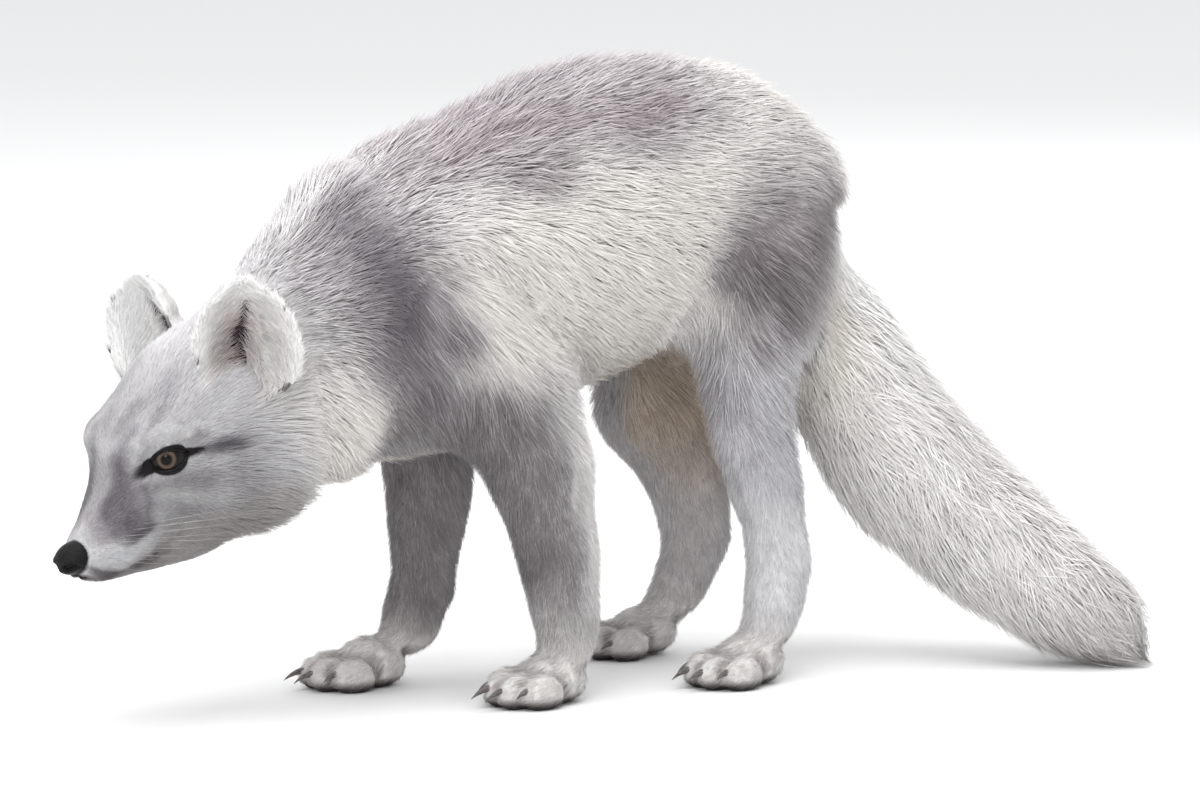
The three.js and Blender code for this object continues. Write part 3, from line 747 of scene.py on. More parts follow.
slit, inner_ear, ear_rim, hollow_shade = np.zeros((4, len(points)))
ear_press = np.zeros((len(points), 3))
ear_lie = np.zeros((len(points), 3))
head_normals = normals @ head_axes.T
for name in EAR_PLACES:
    axes, _ = ear_axes(name)
    s, v, before = in_ear(head_places, name)
    here = step(-0.14, -0.02, v) * step(1.12, 1.0, v) * step(1.25, 1.12, np.abs(s))
    here = here * step(9, 6, np.abs(before))
    in_front = here * step(-0.15, 0.35, head_normals @ axes[2])
    inside = in_front * step(1.02, 0.80, np.abs(s)) * step(0.99, 0.88, v)
    inner_ear = np.maximum(inner_ear, inside)
    bowl = here * step(0.99, 0.88, v) * step(0.92, 0.25, np.abs(s)) * step(-0.05, 0.15, v)
    bowl = bowl * (1 - 0.55 * step(0.40, 0.85, v))
    flat = np.stack([s * EAR_HALF_WIDTH, v * EAR_LENGTH], 1)
    narrow = inside * step(2.6, 0.4, from_line(flat, SLIT_LINE, SLIT_WIDTHS))
    slit = np.maximum(slit, narrow)
    # Painted shade along the deep middle of the hollow.
    hollow_band_shade = inside * step(16, 3, from_line(flat, HOLLOW_LINE, HOLLOW_WIDTHS))
    hollow_shade = np.maximum(hollow_shade, hollow_band_shade)
    ear_press -= axes[2] * (4.6 * bowl + 1.8 * narrow)[:, None]
    seen_side = 0.2 + 0.8 * step(-0.6, 0.0, head_normals @ axes[2])
    edge_of_ear = here * seen_side * np.maximum(step(0.70, 0.92, np.abs(s)), step(0.80, 0.93, v))
    ear_rim = np.maximum(ear_rim, edge_of_ear)
    # Hair grows up the ear, inwards from its edges across the hollow, and outwards on the rim.
    inwards = (0.9 * inside * np.sign(s) * step(0, 0.3, np.abs(s)))[:, None]
    way = axes[1] * (0.9 - 0.4 * inside)[:, None] - axes[0] * inwards
    fringe = axes[0] * np.sign(s)[:, None] * step(1.0, 0.75, v)[:, None] + axes[1] * 0.2
    way += fringe * (0.95 * edge_of_ear)[:, None]
    ear_lie += way * here[:, None]
ears = ears | (inner_ear > 0.5)
points = points + neighbours.spread(ear_press, 3) @ head_axes * MM
move_points(skin.data, points)
slit = neighbours.spread(slit, 1)
print("points in the ears' slits:", int((slit > 0.5).sum()))
print("points inside the ears:", int((inner_ear > 0.5).sum()))

# %% [markdown]
# ## The lie of the coat
# Hair points away from the nose on the head, back and down on the body, down the legs, out along the toes,
# up the ears and along the tail. Round an eye it parts and runs away from the lids. Each region gets a
# direction, spreading turns one gently into the next, and the part of it that points out of the skin is
# taken off.
# %% Directions for the hair
ROOT_OF_TAIL = np.array([-0.024, 0.140, 0.215])
TIP_OF_TAIL = np.array([0.075, 0.262, 0.022])


def flat_to(vectors, normals):
    return unit(vectors - normals * (vectors * normals).sum(1)[:, None])


def head_to_row(vectors):
    return np.asarray(vectors) @ head_axes


normals = normals_of(skin.data)
head_places = in_head(points)
from_middle = points[:, 0] / MM + 25
backwards = points[:, 1] / MM
lie = np.tile([0.0, 1.0, -0.12], (len(points), 1))
lie[:, 2] -= 0.75 * step(15, 75, np.abs(from_middle)) * step(265, 215, height)
lie[:, 2] += 0.55 * step(-60, -115, backwards) * step(200, 235, height)
lie[:, 2] -= 1.1 * step(60, 150, backwards) * step(120, 150, backwards)
lie[is_part["neck"]] = [0, 1.0, 0.05]
lie[is_part["neck"], 2] -= (0.9 * step(190, 130, height))[is_part["neck"]]
away_from_nose = unit(head_places - np.array([64, 0, -12])) + np.array([0, 0, -0.25])
away_from_nose[:, 2] -= 0.5 * step(-10, -40, head_places[:, 0]) * step(0, -25, head_places[:, 2])
lie[is_part["head"]] = head_to_row(away_from_nose)[is_part["head"]]
in_ears = parts_like("ear_") | (inner_ear > 0.3)
lie[in_ears] = head_to_row(ear_lie + 0.05 * ear_axes("ear_left")[0][1])[in_ears]
lie[parts_like("leg")] = [0, 0.22, -1]
lie[parts_like("leg") & (height > 120)] = [0, 0.55, -1]
lie[parts_like("paw")] = [0, -1, -0.45]
lie[is_part["tail"]] = unit(TIP_OF_TAIL - ROOT_OF_TAIL)
lie = flat_to(neighbours.spread(unit(lie), 26), normals)
for side in (1, -1):
    local = in_eye(head_places, side)
    outwards = np.stack([local[:, 0] * 0.6, local[:, 1], 0 * local[:, 0]], 1) @ eye_axes(side)
    pull = 2.2 * step(9, 1.5, lid_distance) * (np.sign(head_places[:, 1]) == side)
    lie = lie + head_to_row(unit(outwards)) * pull[:, None]
lie = flat_to(neighbours.spread(lie, 3), normals)
print("the hair has its directions")

# %% [markdown]
# ## Markings
# The fox is between its coats, so the pattern is a mix of two kinds of hair, light and dark, and what
# changes from place to place is the two colours and the share of dark. Soft-edged strokes and balls lay
# them on, one over the other. The same values colour the skin and every tuft that grows from it.
# %% Strokes of colour
CREAM = (0.84, 0.81, 0.765)
PALE_LILAC = (0.76, 0.75, 0.765)
PALE_FACE = (0.70, 0.69, 0.70)
GREY = (0.43, 0.415, 0.43)
SADDLE = (0.270, 0.232, 0.246)
SHOULDER = (0.145, 0.132, 0.145)
HAUNCH = (0.165, 0.142, 0.150)
TAN = (0.48, 0.415, 0.345)
GROIN = (0.27, 0.205, 0.155)
light = np.tile(CREAM, (len(points), 1))
dark = np.tile(GREY, (len(points), 1))
share = np.full(len(points), 0.12)


def wander(points, size, seed):
    """A smooth random value between 0 and 1 that changes over about size millimetres."""
    lattice = np.random.default_rng(seed).random((64, 64, 64))
    cell = np.floor(points / MM / size).astype(int)
    t = points / MM / size - cell
    t = t * t * (3 - 2 * t)
    total = np.zeros(len(points))
    for corner in np.ndindex(2, 2, 2):
        weight = np.prod(np.where(np.array(corner), t, 1 - t), axis=1)
        total += weight * lattice[tuple(((cell + corner) % 64).T)]
    return total


def lay_on(mask, light_colour, dark_colour, dark_share):
    """Where the mask is 1 the hair gets these colours and this share of dark hair."""
    global light, dark, share
    mask = np.clip(mask, 0, 1)
    light = light + mask[:, None] * (np.array(light_colour) - light)
    dark = dark + mask[:, None] * (np.array(dark_colour) - dark)
    share = share + mask * (dark_share - share)


def side_places():
    """The body seen from the side: backwards and up in millimetres, with edges that wander."""
    shift = 22 * (wander(points, 20, 3) - 0.5) + 9 * (wander(points, 7, 4) - 0.5)
    return np.stack([backwards + shift, height + shift], 1)


def ball(places, centre, radii, soft):
    """1 inside, 0 outside a ball, or an ellipse or egg with radii."""
    away = np.linalg.norm((places - np.array(centre)) / np.array(radii), axis=1)
    return step(1 + soft, 1 - soft, away)


print("colours are ready")

# %% The body's markings
seen = side_places()
body = (part != FLESH.index("head")) & ~ears
trunk_like = is_part["trunk"] | is_part["neck"] | parts_like("leg")
faces_back = normals[:, 1]
beside = np.abs(from_middle)
on_flank = trunk_like * step(4, 20, beside)
on_thigh = trunk_like * step(6, 24, beside)

UPPER_NECK = [(-185, 205), (-150, 238), (-120, 262), (-95, 262)]
UPPER_STREAK = [(-64, 260), (-4, 272), (50, 275)]
LOWER_STREAK = [(-52, 246), (-18, 251)]
SHOULDER_LINE = [
    (-130, 240), (-118, 216), (-112, 194), (-105, 172), (-86, 152), (-62, 128), (-52, 92), (-49, 60),
]
SHOULDER_WIDTHS = [8, 15, 20, 18, 15, 12, 9, 8]
UPPER_SHOULDER = (0.46, 0.44, 0.455), (0.15, 0.135, 0.147)
HAUNCH_BALLS = [  # centre, radii, softness, strength, the two colours and the share of dark hair
    ((105, 207), (37, 42), 0.40, 1.0, (0.50, 0.465, 0.48), HAUNCH, 0.66),
    ((84, 184), (19, 24), 0.7, 0.9, (0.30, 0.27, 0.28), (0.105, 0.09, 0.096), 0.86),
    ((130, 208), (12, 24), 0.7, 0.7, (0.40, 0.36, 0.375), HAUNCH, 0.80),
]

underside = step(-0.2, -0.75, normals[:, 2]) * step(175, 150, height) * is_part["trunk"]
lay_on(underside, (0.74, 0.69, 0.62), TAN, 0.35)
upper_neck = step(70, -5, from_line(seen, UPPER_NECK))
lay_on(upper_neck * trunk_like, (0.78, 0.77, 0.775), (0.38, 0.36, 0.38), 0.26)
nape = ball(seen, (-146, 222), (22, 18), 0.7) * step(4, 18, beside)
lay_on(nape * trunk_like * 0.8, (0.70, 0.67, 0.675), (0.28, 0.255, 0.265), 0.42)
saddle_edge = 240 + 0.15 * (seen[:, 0] + 91)
saddle = step(saddle_edge - 15, saddle_edge + 16, seen[:, 1])
saddle = saddle * step(-142, -88, seen[:, 0]) * step(114, 60, seen[:, 0])
lay_on(saddle * trunk_like, (0.67, 0.632, 0.645), SADDLE, 0.53)
ridge = step(26, 4, beside) * step(-120, -50, seen[:, 0]) * step(80, 0, seen[:, 0])
lay_on(ridge * is_part["trunk"] * 0.35, (0.56, 0.52, 0.54), SHOULDER, 0.58)
streak = np.minimum(from_line(seen, UPPER_STREAK), from_line(seen, LOWER_STREAK))
lay_on(step(12, 0, streak) * 0.6 * is_part["trunk"], (0.44, 0.39, 0.405), (0.20, 0.165, 0.178), 0.74)

shoulder_share = step(17, -12, from_line(seen, SHOULDER_LINE, SHOULDER_WIDTHS)) * on_flank
lay_on(shoulder_share, (0.44, 0.42, 0.44), SHOULDER, 0.73)
deep_shoulder = ball(seen, (-114, 202), (22, 26), 0.7) * on_flank
lay_on(deep_shoulder * 0.9, (0.32, 0.295, 0.315), (0.115, 0.103, 0.114), 0.86)
upper_part = step(212, 244, seen[:, 1]) * shoulder_share
lay_on(upper_part * 0.6, *UPPER_SHOULDER, 0.70)
shoulder_top = ball(seen, (-104, 232), (20, 15), 0.7) * on_flank
lay_on(shoulder_top * 0.7, *UPPER_SHOULDER, 0.68)

pale_flank = ball(seen, (-5, 196), (60, 44), 0.45) * is_part["trunk"]
pale_flank = pale_flank * step(saddle_edge + 8, saddle_edge - 12, seen[:, 1])
lay_on(pale_flank, (0.82, 0.795, 0.75), (0.52, 0.49, 0.465), 0.12)
belly_shade = step(188, 160, seen[:, 1]) * is_part["trunk"] * step(-70, -40, seen[:, 0])
lay_on(belly_shade * 0.8, (0.59, 0.555, 0.525), (0.36, 0.335, 0.315), 0.38)
for centre, radii, soft, strength, *hair in HAUNCH_BALLS:
    lay_on(ball(seen, centre, radii, soft) * on_thigh * strength, *hair)
rump_top = ball(seen, (118, 252), (26, 20), 0.7) * on_flank
lay_on(rump_top * 0.5, (0.58, 0.54, 0.555), SADDLE, 0.50)
buttock = step(0.35, 0.85, faces_back) * step(120, 145, backwards) * trunk_like * step(225, 190, height)
lay_on(buttock, PALE_LILAC, GREY, 0.20)

# %% The legs', tail's and paws' markings
forelegs = parts_like("foreleg")
hindlegs = parts_like("hindleg")
low_foreleg = forelegs * step(172, 128, seen[:, 1])
lay_on(low_foreleg, (0.50, 0.485, 0.49), (0.155, 0.143, 0.148), 0.68)
lay_on(low_foreleg * step(0.1, -0.6, faces_back) * 0.7, (0.38, 0.355, 0.365), (0.115, 0.104, 0.11), 0.76)
lay_on(low_foreleg * step(-0.15, 0.6, faces_back), (0.83, 0.81, 0.79), GREY, 0.12)
right_foreleg = is_part["foreleg_right"] * step(165, 120, height)
lay_on(right_foreleg * 0.8, (0.36, 0.335, 0.34), (0.13, 0.118, 0.122), 0.70)
wrist = is_part["foreleg_left"] * step(66, 24, seen[:, 1])
lay_on(wrist, (0.66, 0.645, 0.64), (0.27, 0.252, 0.255), 0.42)

low_hindleg = hindlegs * step(184, 140, seen[:, 1])
lay_on(low_hindleg, (0.70, 0.69, 0.715), (0.30, 0.29, 0.315), 0.46)
front_of_thigh = low_hindleg * step(-0.1, -0.8, faces_back) * step(105, 140, height)
lay_on(front_of_thigh, (0.60, 0.59, 0.61), (0.27, 0.255, 0.275), 0.55)
lay_on(hindlegs * step(110, 70, seen[:, 1]), (0.75, 0.745, 0.76), GREY, 0.20)
right_hindleg = is_part["hindleg_right"] * step(178, 150, height)
lay_on(right_hindleg * 0.7, (0.56, 0.53, 0.53), (0.24, 0.215, 0.215), 0.46)
inner = (hindlegs | is_part["trunk"]) * step(30, 8, beside)
inner = inner * step(182, 146, height) * step(0, 38, backwards)
inner_thigh = hindlegs * step(178, 150, height) * step(0.1, 0.8, -normals[:, 0] * np.sign(from_middle))
lay_on(np.maximum(inner, inner_thigh * step(60, 125, height)), (0.58, 0.49, 0.41), GROIN, 0.50)

tail_part = is_part["tail"].astype(float)
lay_on(tail_part, (0.90, 0.89, 0.875), (0.54, 0.52, 0.50), 0.09)
lay_on(tail_part * step(165, 110, height), (0.84, 0.82, 0.80), (0.48, 0.455, 0.44), 0.18)
lay_on(tail_part * ball(seen, (140, 152), (14, 30), 0.5) * 0.6, (0.68, 0.62, 0.56), TAN, 0.35)
# Painted shade on the tail's underside, which faces down.
tail_underside_shade = step(0.0, -0.8, normals[:, 2])
lay_on(tail_part * tail_underside_shade * 0.2, (0.80, 0.78, 0.76), (0.46, 0.43, 0.42), 0.22)
tip_share = step(40, 8, np.linalg.norm(points - TIP_OF_TAIL, axis=1) / MM)
lay_on(tail_part * tip_share * 0.7, (0.66, 0.635, 0.62), (0.27, 0.25, 0.245), 0.44)

paws = parts_like("paw").astype(float)
lay_on(paws, (0.75, 0.73, 0.71), (0.34, 0.31, 0.305), 0.24)
lay_on(paws * step(7, 2, height), (0.16, 0.14, 0.14), (0.05, 0.042, 0.045), 0.70)
# Painted shade in the gaps between the toes, where the skin is hollow.
paw_hollow = neighbours.spread(((neighbours.mean(points) - points) * normals).sum(1) / MM, 3)
shade_between_toes = paws * step(0.02, 0.09, paw_hollow) * step(20, 10, height)
lay_on(shade_between_toes * 0.7, (0.38, 0.32, 0.315), (0.14, 0.11, 0.11), 0.62)
carpal_pad = ball(points / MM, (-29.5, -70.5, 19), (3.5, 4, 6), 0.4) * is_part["forepaw_right"]
lay_on(carpal_pad * 0.9, (0.06, 0.055, 0.055), (0.03, 0.027, 0.027), 0.8)
mottle = 0.34 * (wander(points, 24, 8) - 0.5) + 0.26 * (wander(points, 9, 9) - 0.5)
share = np.clip(share + mottle * (0.25 + share) * (part != FLESH.index("head")), 0, 1)
print("body painted; mean share of dark hair", share[body].mean().round(2))

# %% The face's markings
on_head = is_part["head"].astype(float)
face = mirrored(head_places)
face = face + (2.2 * (wander(points, 4, 5) - 0.5) + 4 * (wander(points, 11, 6) - 0.5))[:, None]
# A line's corners, widths and softness, then the light colour, the dark colour and the share of dark hair,
# and last the strength where it isn't 1.
FACE_STROKES = {
    "forehead and crown": (
        [(-22, 0, 20), (-40, 10, 28), (-60, 18, 30)], [10, 16, 14], 11, (0.73, 0.72, 0.735), GREY, 0.24),
    "side of the forehead": (
        [(-19, 14, 23), (-36, 18, 28)], [4, 5], 7, (0.60, 0.59, 0.61), (0.28, 0.265, 0.285), 0.45, 0.75),
    "brow": (
        [(2, 21, 13), (-8, 21, 18), (-20, 21, 21)], [1, 1.8, 2], 3,
        (0.54, 0.52, 0.54), (0.24, 0.22, 0.24), 0.55, 0.8),
    "end of the brow": (
        [(-14, 29, 12), (-17, 33, 5), (-19, 36, 1)], [1, 2, 1], 2.5,
        (0.52, 0.50, 0.51), (0.23, 0.21, 0.22), 0.6, 0.85),
    "above the upper lid": (
        [(0, 23, 12), (-8, 28.5, 11.5), (-13, 32, 7)], [1.0, 2.2, 1.0], 2.2,
        (0.80, 0.785, 0.75), GREY, 0.04),
    "under the eye": (
        [(9, 23, -9), (-2, 28, -14), (-12, 36, -17)], [1.5, 2.5, 3], 4.5,
        (0.46, 0.445, 0.45), (0.22, 0.205, 0.21), 0.55, 0.85),
    "pale cheek": (
        [(6, 24, -13), (-2, 27.5, -22), (-14, 38, -27)], [1.5, 3, 3.5], 5,
        (0.68, 0.67, 0.675), GREY, 0.18, 0.85),
    "pale spot behind the eye": (
        [(-5, 33, -6), (-15, 39, -10)], [1.5, 2], 3, (0.74, 0.725, 0.71), GREY, 0.10),
    "dark spot on the cheek": (
        [(-24, 44, -17), (-36, 46.5, -21)], [1.2, 1.8], 3,
        (0.44, 0.42, 0.44), (0.19, 0.175, 0.19), 0.62, 0.85),
    "stripe behind the eye": (
        [(-14, 34.5, -3), (-22, 38.5, -5), (-31, 42, -7.5), (-45, 45, -15)], [0.8, 2.6, 4.4, 4.6], 3.2,
        (0.28, 0.265, 0.285), (0.085, 0.077, 0.09), 0.80),
    # Partly grey hair, partly painted shade under the head.
    "jaw": (
        [(4, 18, -42), (-12, 32, -44), (-34, 42, -48)], [4, 8, 9], 8,
        (0.60, 0.575, 0.565), (0.33, 0.31, 0.305), 0.42),
    # Partly grey hair, partly painted shade under the head.
    "throat": (
        [(30, 0, -46), (0, 20, -52), (-40, 24, -62)], [10, 12, 18], 10,
        (0.52, 0.495, 0.485), (0.30, 0.28, 0.275), 0.45),
    "side of the bridge": (
        [(0, 13, 16), (12, 10, 9)], [1.5, 2.5], 5, (0.46, 0.44, 0.465), (0.19, 0.175, 0.195), 0.6, 0.75),
    "between the eyes": (
        [(3, 4.5, 18), (-10, 8, 23)], [2.5, 3], 5, (0.50, 0.48, 0.50), (0.22, 0.205, 0.22), 0.55, 0.7),
    "muzzle patch": (
        [(13, 9, 5.5), (20, 13, -4), (26, 15.5, -13), (27, 17, -21)], [3, 5.5, 7, 5], 6,
        (0.36, 0.335, 0.36), (0.105, 0.093, 0.108), 0.72, 0.97),
    "front of the muzzle patch": (
        [(27, 7.5, -7), (31, 9.5, -14)], [5, 7], 5, (0.30, 0.28, 0.30), (0.10, 0.09, 0.102), 0.74, 0.97),
    "rear of the muzzle patch": (
        [(12, 19, -2), (15, 20, -11), (22, 18.5, -22)], [1, 2.8, 3], 4,
        (0.34, 0.32, 0.34), (0.11, 0.10, 0.115), 0.72),
    "above the nose's side": (
        [(37, 5, -7), (41, 10, -15)], [2.5, 3], 4, (0.52, 0.485, 0.51), (0.26, 0.24, 0.255), 0.44, 0.8),
    "lower edge of the muzzle patch": (
        [(31, 15.5, -22), (24, 17.5, -22.5), (17, 19, -23)], [0.8, 1.5, 1.0], 1.8,
        (0.22, 0.20, 0.22), (0.06, 0.053, 0.063), 0.9),
    "pale upper lip": (
        [(46, 8, -24), (37, 12, -27.5), (25, 15.5, -31), (10, 20, -34)], [2.6, 3.6, 3.2, 2.2], 2.6,
        (0.78, 0.785, 0.81), GREY, 0.05),
    "bridge": (
        [(36, 0, -6), (26, 0, -3), (14, 0, 5)], [4, 4, 3], 5,
        (0.56, 0.54, 0.56), (0.24, 0.225, 0.24), 0.36),
    "pale end of the bridge": (
        [(52, 0, -10), (44, 0, -9)], [3, 3], 4, (0.74, 0.73, 0.745), GREY, 0.14),
    # Partly grey hair, partly painted shade under the jaw.
    "chin": (
        [(36, 4, -44), (24, 5, -46), (10, 8, -46)], [3, 4, 3], 3,
        (0.42, 0.395, 0.39), (0.22, 0.20, 0.20), 0.6),
    "lower lip": (
        [(53, 8, -25.5), (48, 9.5, -31.5), (40, 9, -38.5), (27, 10, -43), (13, 14, -43)],
        [1.6, 2.4, 2.8, 2.4, 1], 2.2, (0.20, 0.185, 0.19), (0.075, 0.068, 0.07), 0.78, 0.85),
    # Painted shade in the crease that runs back from the mouth's corner.
    "painted shade of the crease behind the mouth": (
        [(3, 15, -40.5), (-8, 24, -39.5)], [0.8, 0.2], 2.0,
        (0.42, 0.40, 0.40), (0.16, 0.145, 0.15), 0.7, 0.8),
    "line of the mouth": (
        MOUTH_LINE, [1.6, 1.5, 1.5, 1.5, 1.3, 1.1, 0.8, 0.3], 1.5,
        (0.20, 0.18, 0.185), (0.07, 0.06, 0.065), 0.8),
}


def stroke_on_face(corners, widths, soft, light_colour, dark_colour, dark_share, strength=1.0):
    mask = strength * on_head * step(soft, -soft * 0.5, from_line(face, corners, widths))
    lay_on(mask, light_colour, dark_colour, dark_share)


lay_on(on_head, PALE_FACE, (0.36, 0.345, 0.365), 0.26)
# Grey hair and painted shade on the lower face, which faces down.
shaded_lower_face = step(-3, -20, face[:, 2]) * step(26, 4, face[:, 0]) * step(-58, -26, face[:, 0]) * on_head
lay_on(shaded_lower_face * 0.85, (0.58, 0.57, 0.58), (0.28, 0.268, 0.28), 0.42)
for stroke in FACE_STROKES.values():
    stroke_on_face(*stroke)

black_edge = neighbours.spread(bare, 8) * on_head * step(1.25, 1.5, from_nose)
lay_on(2.2 * black_edge, (0.05, 0.045, 0.05), (0.02, 0.018, 0.02), 0.9)

# The face's hair is made a little darker all over, and the lower face more again as painted shade.
before_ears = step(-55, -22, head_places[:, 0])
face_darkening_and_shade = 1 - (0.22 * neighbours.spread(on_head, 6) + 0.10 * shaded_lower_face) * before_ears
light *= face_darkening_and_shade[:, None]
dark *= face_darkening_and_shade[:, None]
lay_on(ears.astype(float), (0.64, 0.625, 0.62), (0.40, 0.38, 0.38), 0.24)
lay_on(np.maximum(ear_rim, inner_ear) * ears, (0.90, 0.89, 0.88), (0.56, 0.54, 0.53), 0.06)
# Painted light: the right ear's inside gets near-white hair, as if lit through from behind, while the left
# ear's inside stays darker.
left_inner_ear = inner_ear * (head_places[:, 1] > 0)
lay_on(left_inner_ear * 0.7 * (1 - ear_rim), (0.80, 0.775, 0.76), (0.44, 0.395, 0.39), 0.20)
lay_on((inner_ear - left_inner_ear) * 0.8, (0.92, 0.92, 0.92), (0.62, 0.60, 0.60), 0.04)
# Painted shade deep in the ears' hollows; the right ear gets much less, being painted as lit through from
# behind.
hollow_shade_share = hollow_shade * (0.85 - 0.5 * (head_places[:, 1] < 0))
lay_on(hollow_shade_share, (0.56, 0.50, 0.485), (0.24, 0.18, 0.175), 0.42)
share = np.clip(share + 0.16 * (wander(points, 9, 7) - 0.5), 0, 1)
cheek_ruff = on_head * step(-50, -72, head_places[:, 0]) * step(8, -8, head_places[:, 2])
lay_on(cheek_ruff * 0.8, (0.82, 0.80, 0.78), (0.46, 0.44, 0.43), 0.14)

# Where the head and the paws meet their neighbours, both colours and the share of dark hair are blended.
BLEND_ROUNDS = 60
of_head = neighbours.spread(is_part["head"].astype(float), BLEND_ROUNDS)
of_paws = neighbours.spread(paws, 30)
head_edge = step(0.05, 0.6, 4 * of_head * (1 - of_head))
paw_edge = step(0.1, 0.8, 4 * of_paws * (1 - of_paws))
border = np.maximum(head_edge, paw_edge)[:, None] * (~ears)[:, None]
blended = neighbours.spread(np.hstack([light, dark, share[:, None]]), BLEND_ROUNDS)
light += border * (blended[:, :3] - light)
dark += border * (blended[:, 3:6] - dark)
share += border[:, 0] * (blended[:, 6] - share)
print("face painted; mean share of dark hair", share[is_part["head"]].mean().round(2))

# %% [markdown]
# ## Materials for hair and skin
# One node group gives hair its small unevenness: it mottles a colour with two sizes of noise and gives a
# roughness to match. The skin and the coat both use it. The skin also has a bump of very short hair, and
# where the value bare is high it turns to black, moist, bare skin.
# %% The hair group
def new_group(name, inputs, outputs):
    group = bpy.data.node_groups.new(name, "ShaderNodeTree")
    for socket_name, kind, value in inputs:
        socket = group.interface.new_socket(socket_name, in_out="INPUT", socket_type=kind)
        socket.default_value = value
    for socket_name, kind in outputs:
        group.interface.new_socket(socket_name, in_out="OUTPUT", socket_type=kind)
    return group, group.nodes.new("NodeGroupInput"), group.nodes.new("NodeGroupOutput")


def set_inputs(node, inputs):
    """Each input is linked to a socket, or a number or a colour is set on it."""
    for name, value in inputs.items():
        if isinstance(value, bpy.types.NodeSocket):
            node.id_data.links.new(value, node.inputs[name])
        else:
            node.inputs[name].default_value = value


def new_node(tree, kind, inputs=None, **settings):
    node = tree.nodes.new(kind)
    for name, value in settings.items():
        setattr(node, name, value)
    set_inputs(node, inputs or {})
    return node


def math_node(tree, operation, first, second):
    return new_node(tree, "ShaderNodeMath", {0: first, 1: second}, operation=operation).outputs[0]


def range_node(tree, value, low, high):
    """The value, which runs from 0 to 1, moved to run from low to high."""
    inputs = {"Value": value, "To Min": low, "To Max": high}
    return new_node(tree, "ShaderNodeMapRange", inputs).outputs["Result"]


def object_place(tree):
    return new_node(tree, "ShaderNodeTexCoord").outputs["Object"]


hair_group, asked, given = new_group(
    "Hair unevenness",
    [
        ("Color", "NodeSocketColor", (1, 1, 1, 1)),
        ("Amount", "NodeSocketFloat", 0.2),
        ("Scale", "NodeSocketFloat", 300),
    ],
    [("Color", "NodeSocketColor"), ("Roughness", "NodeSocketFloat"), ("Height", "NodeSocketFloat")],
)
place = object_place(hair_group)
fine_noise = new_node(
    hair_group, "ShaderNodeTexNoise", {"Vector": place, "Scale": asked.outputs["Scale"], "Detail": 4.0}
).outputs["Fac"]
coarse_noise = new_node(
    hair_group, "ShaderNodeTexNoise", {"Vector": place, "Scale": 70.0, "Detail": 2.0}
).outputs["Fac"]
both = math_node(hair_group, "ADD", fine_noise, coarse_noise)
centred = math_node(hair_group, "SUBTRACT", both, 1.0)
scaled = math_node(hair_group, "MULTIPLY", centred, asked.outputs["Amount"])
factor = math_node(hair_group, "ADD", scaled, 1.0)
mottled = new_node(
    hair_group, "ShaderNodeVectorMath", {0: asked.outputs["Color"], "Scale": factor}, operation="SCALE"
)
set_inputs(given, {
    "Color": mottled.outputs["Vector"],
    "Roughness": range_node(hair_group, fine_noise, 0.62, 0.86),
    "Height": fine_noise,
})
print("hair group made")


# %% The coat's and the skin's materials
def hair_material(name, amount, scale):
    material, tree, shader = node_material(name)
    colour = new_node(tree, "ShaderNodeAttribute", attribute_name="coat").outputs["Color"]
    hair = new_node(tree, "ShaderNodeGroup", node_tree=hair_group)
    set_inputs(hair, {"Color": colour, "Amount": amount, "Scale": scale})
    set_inputs(shader, {
        "Base Color": hair.outputs["Color"],
        "Roughness": hair.outputs["Roughness"],
        "Specular IOR Level": 0.30,
        "Sheen Weight": 0.12,
        "Sheen Roughness": 0.5,
    })
    return material, tree, shader, hair


FACTOR, COLOUR_A, COLOUR_B, COLOUR_OUT = 0, 6, 7, 2  # the Mix node's sockets for colours
BARE_BLACK = (0.006, 0.005, 0.006, 1)
coat_material, _, _, _ = hair_material("coat", 0.22, 420)
skin_material, tree, shader, hair = hair_material("skin under the coat", 0.45, 900)
bareness = new_node(tree, "ShaderNodeAttribute", attribute_name="bare").outputs["Fac"]
mixed = new_node(
    tree, "ShaderNodeMix",
    {FACTOR: bareness, COLOUR_A: hair.outputs["Color"], COLOUR_B: BARE_BLACK}, data_type="RGBA",
)
short_hair = new_node(
    tree, "ShaderNodeBump", {"Height": hair.outputs["Height"], "Strength": 0.35, "Distance": 0.0006}
)
set_inputs(shader, {
    "Base Color": mixed.outputs[COLOUR_OUT],
    "Roughness": range_node(tree, bareness, hair.outputs["Roughness"], 0.45),
    "Specular IOR Level": 0.10,
    "Sheen Weight": 0.02,
    "Normal": short_hair.outputs["Normal"],
})
print("materials:", coat_material.name, "and", skin_material.name)

# %% Colour the skin and unwrap it
def set_attribute(mesh, name, kind, values):
    field = "color" if kind == "FLOAT_COLOR" else "value"
    data = mesh.attributes.new(name, kind, "POINT").data
    data.foreach_set(field, np.ascontiguousarray(values, np.float32).ravel())


def with_alpha(colours):
    return np.hstack([colours, np.ones((len(colours), 1))])


SLIT_SHADE_COLOUR = np.array([0.012, 0.004, 0.006])
skin_colour = light + (share ** 0.9)[:, None] * (dark - light)
# Painted shade under the coat: the skin is darker everywhere, and more where the coat over it is deep.
skin_colour *= (0.86 - 0.10 * step(2, 8, depth))[:, None]
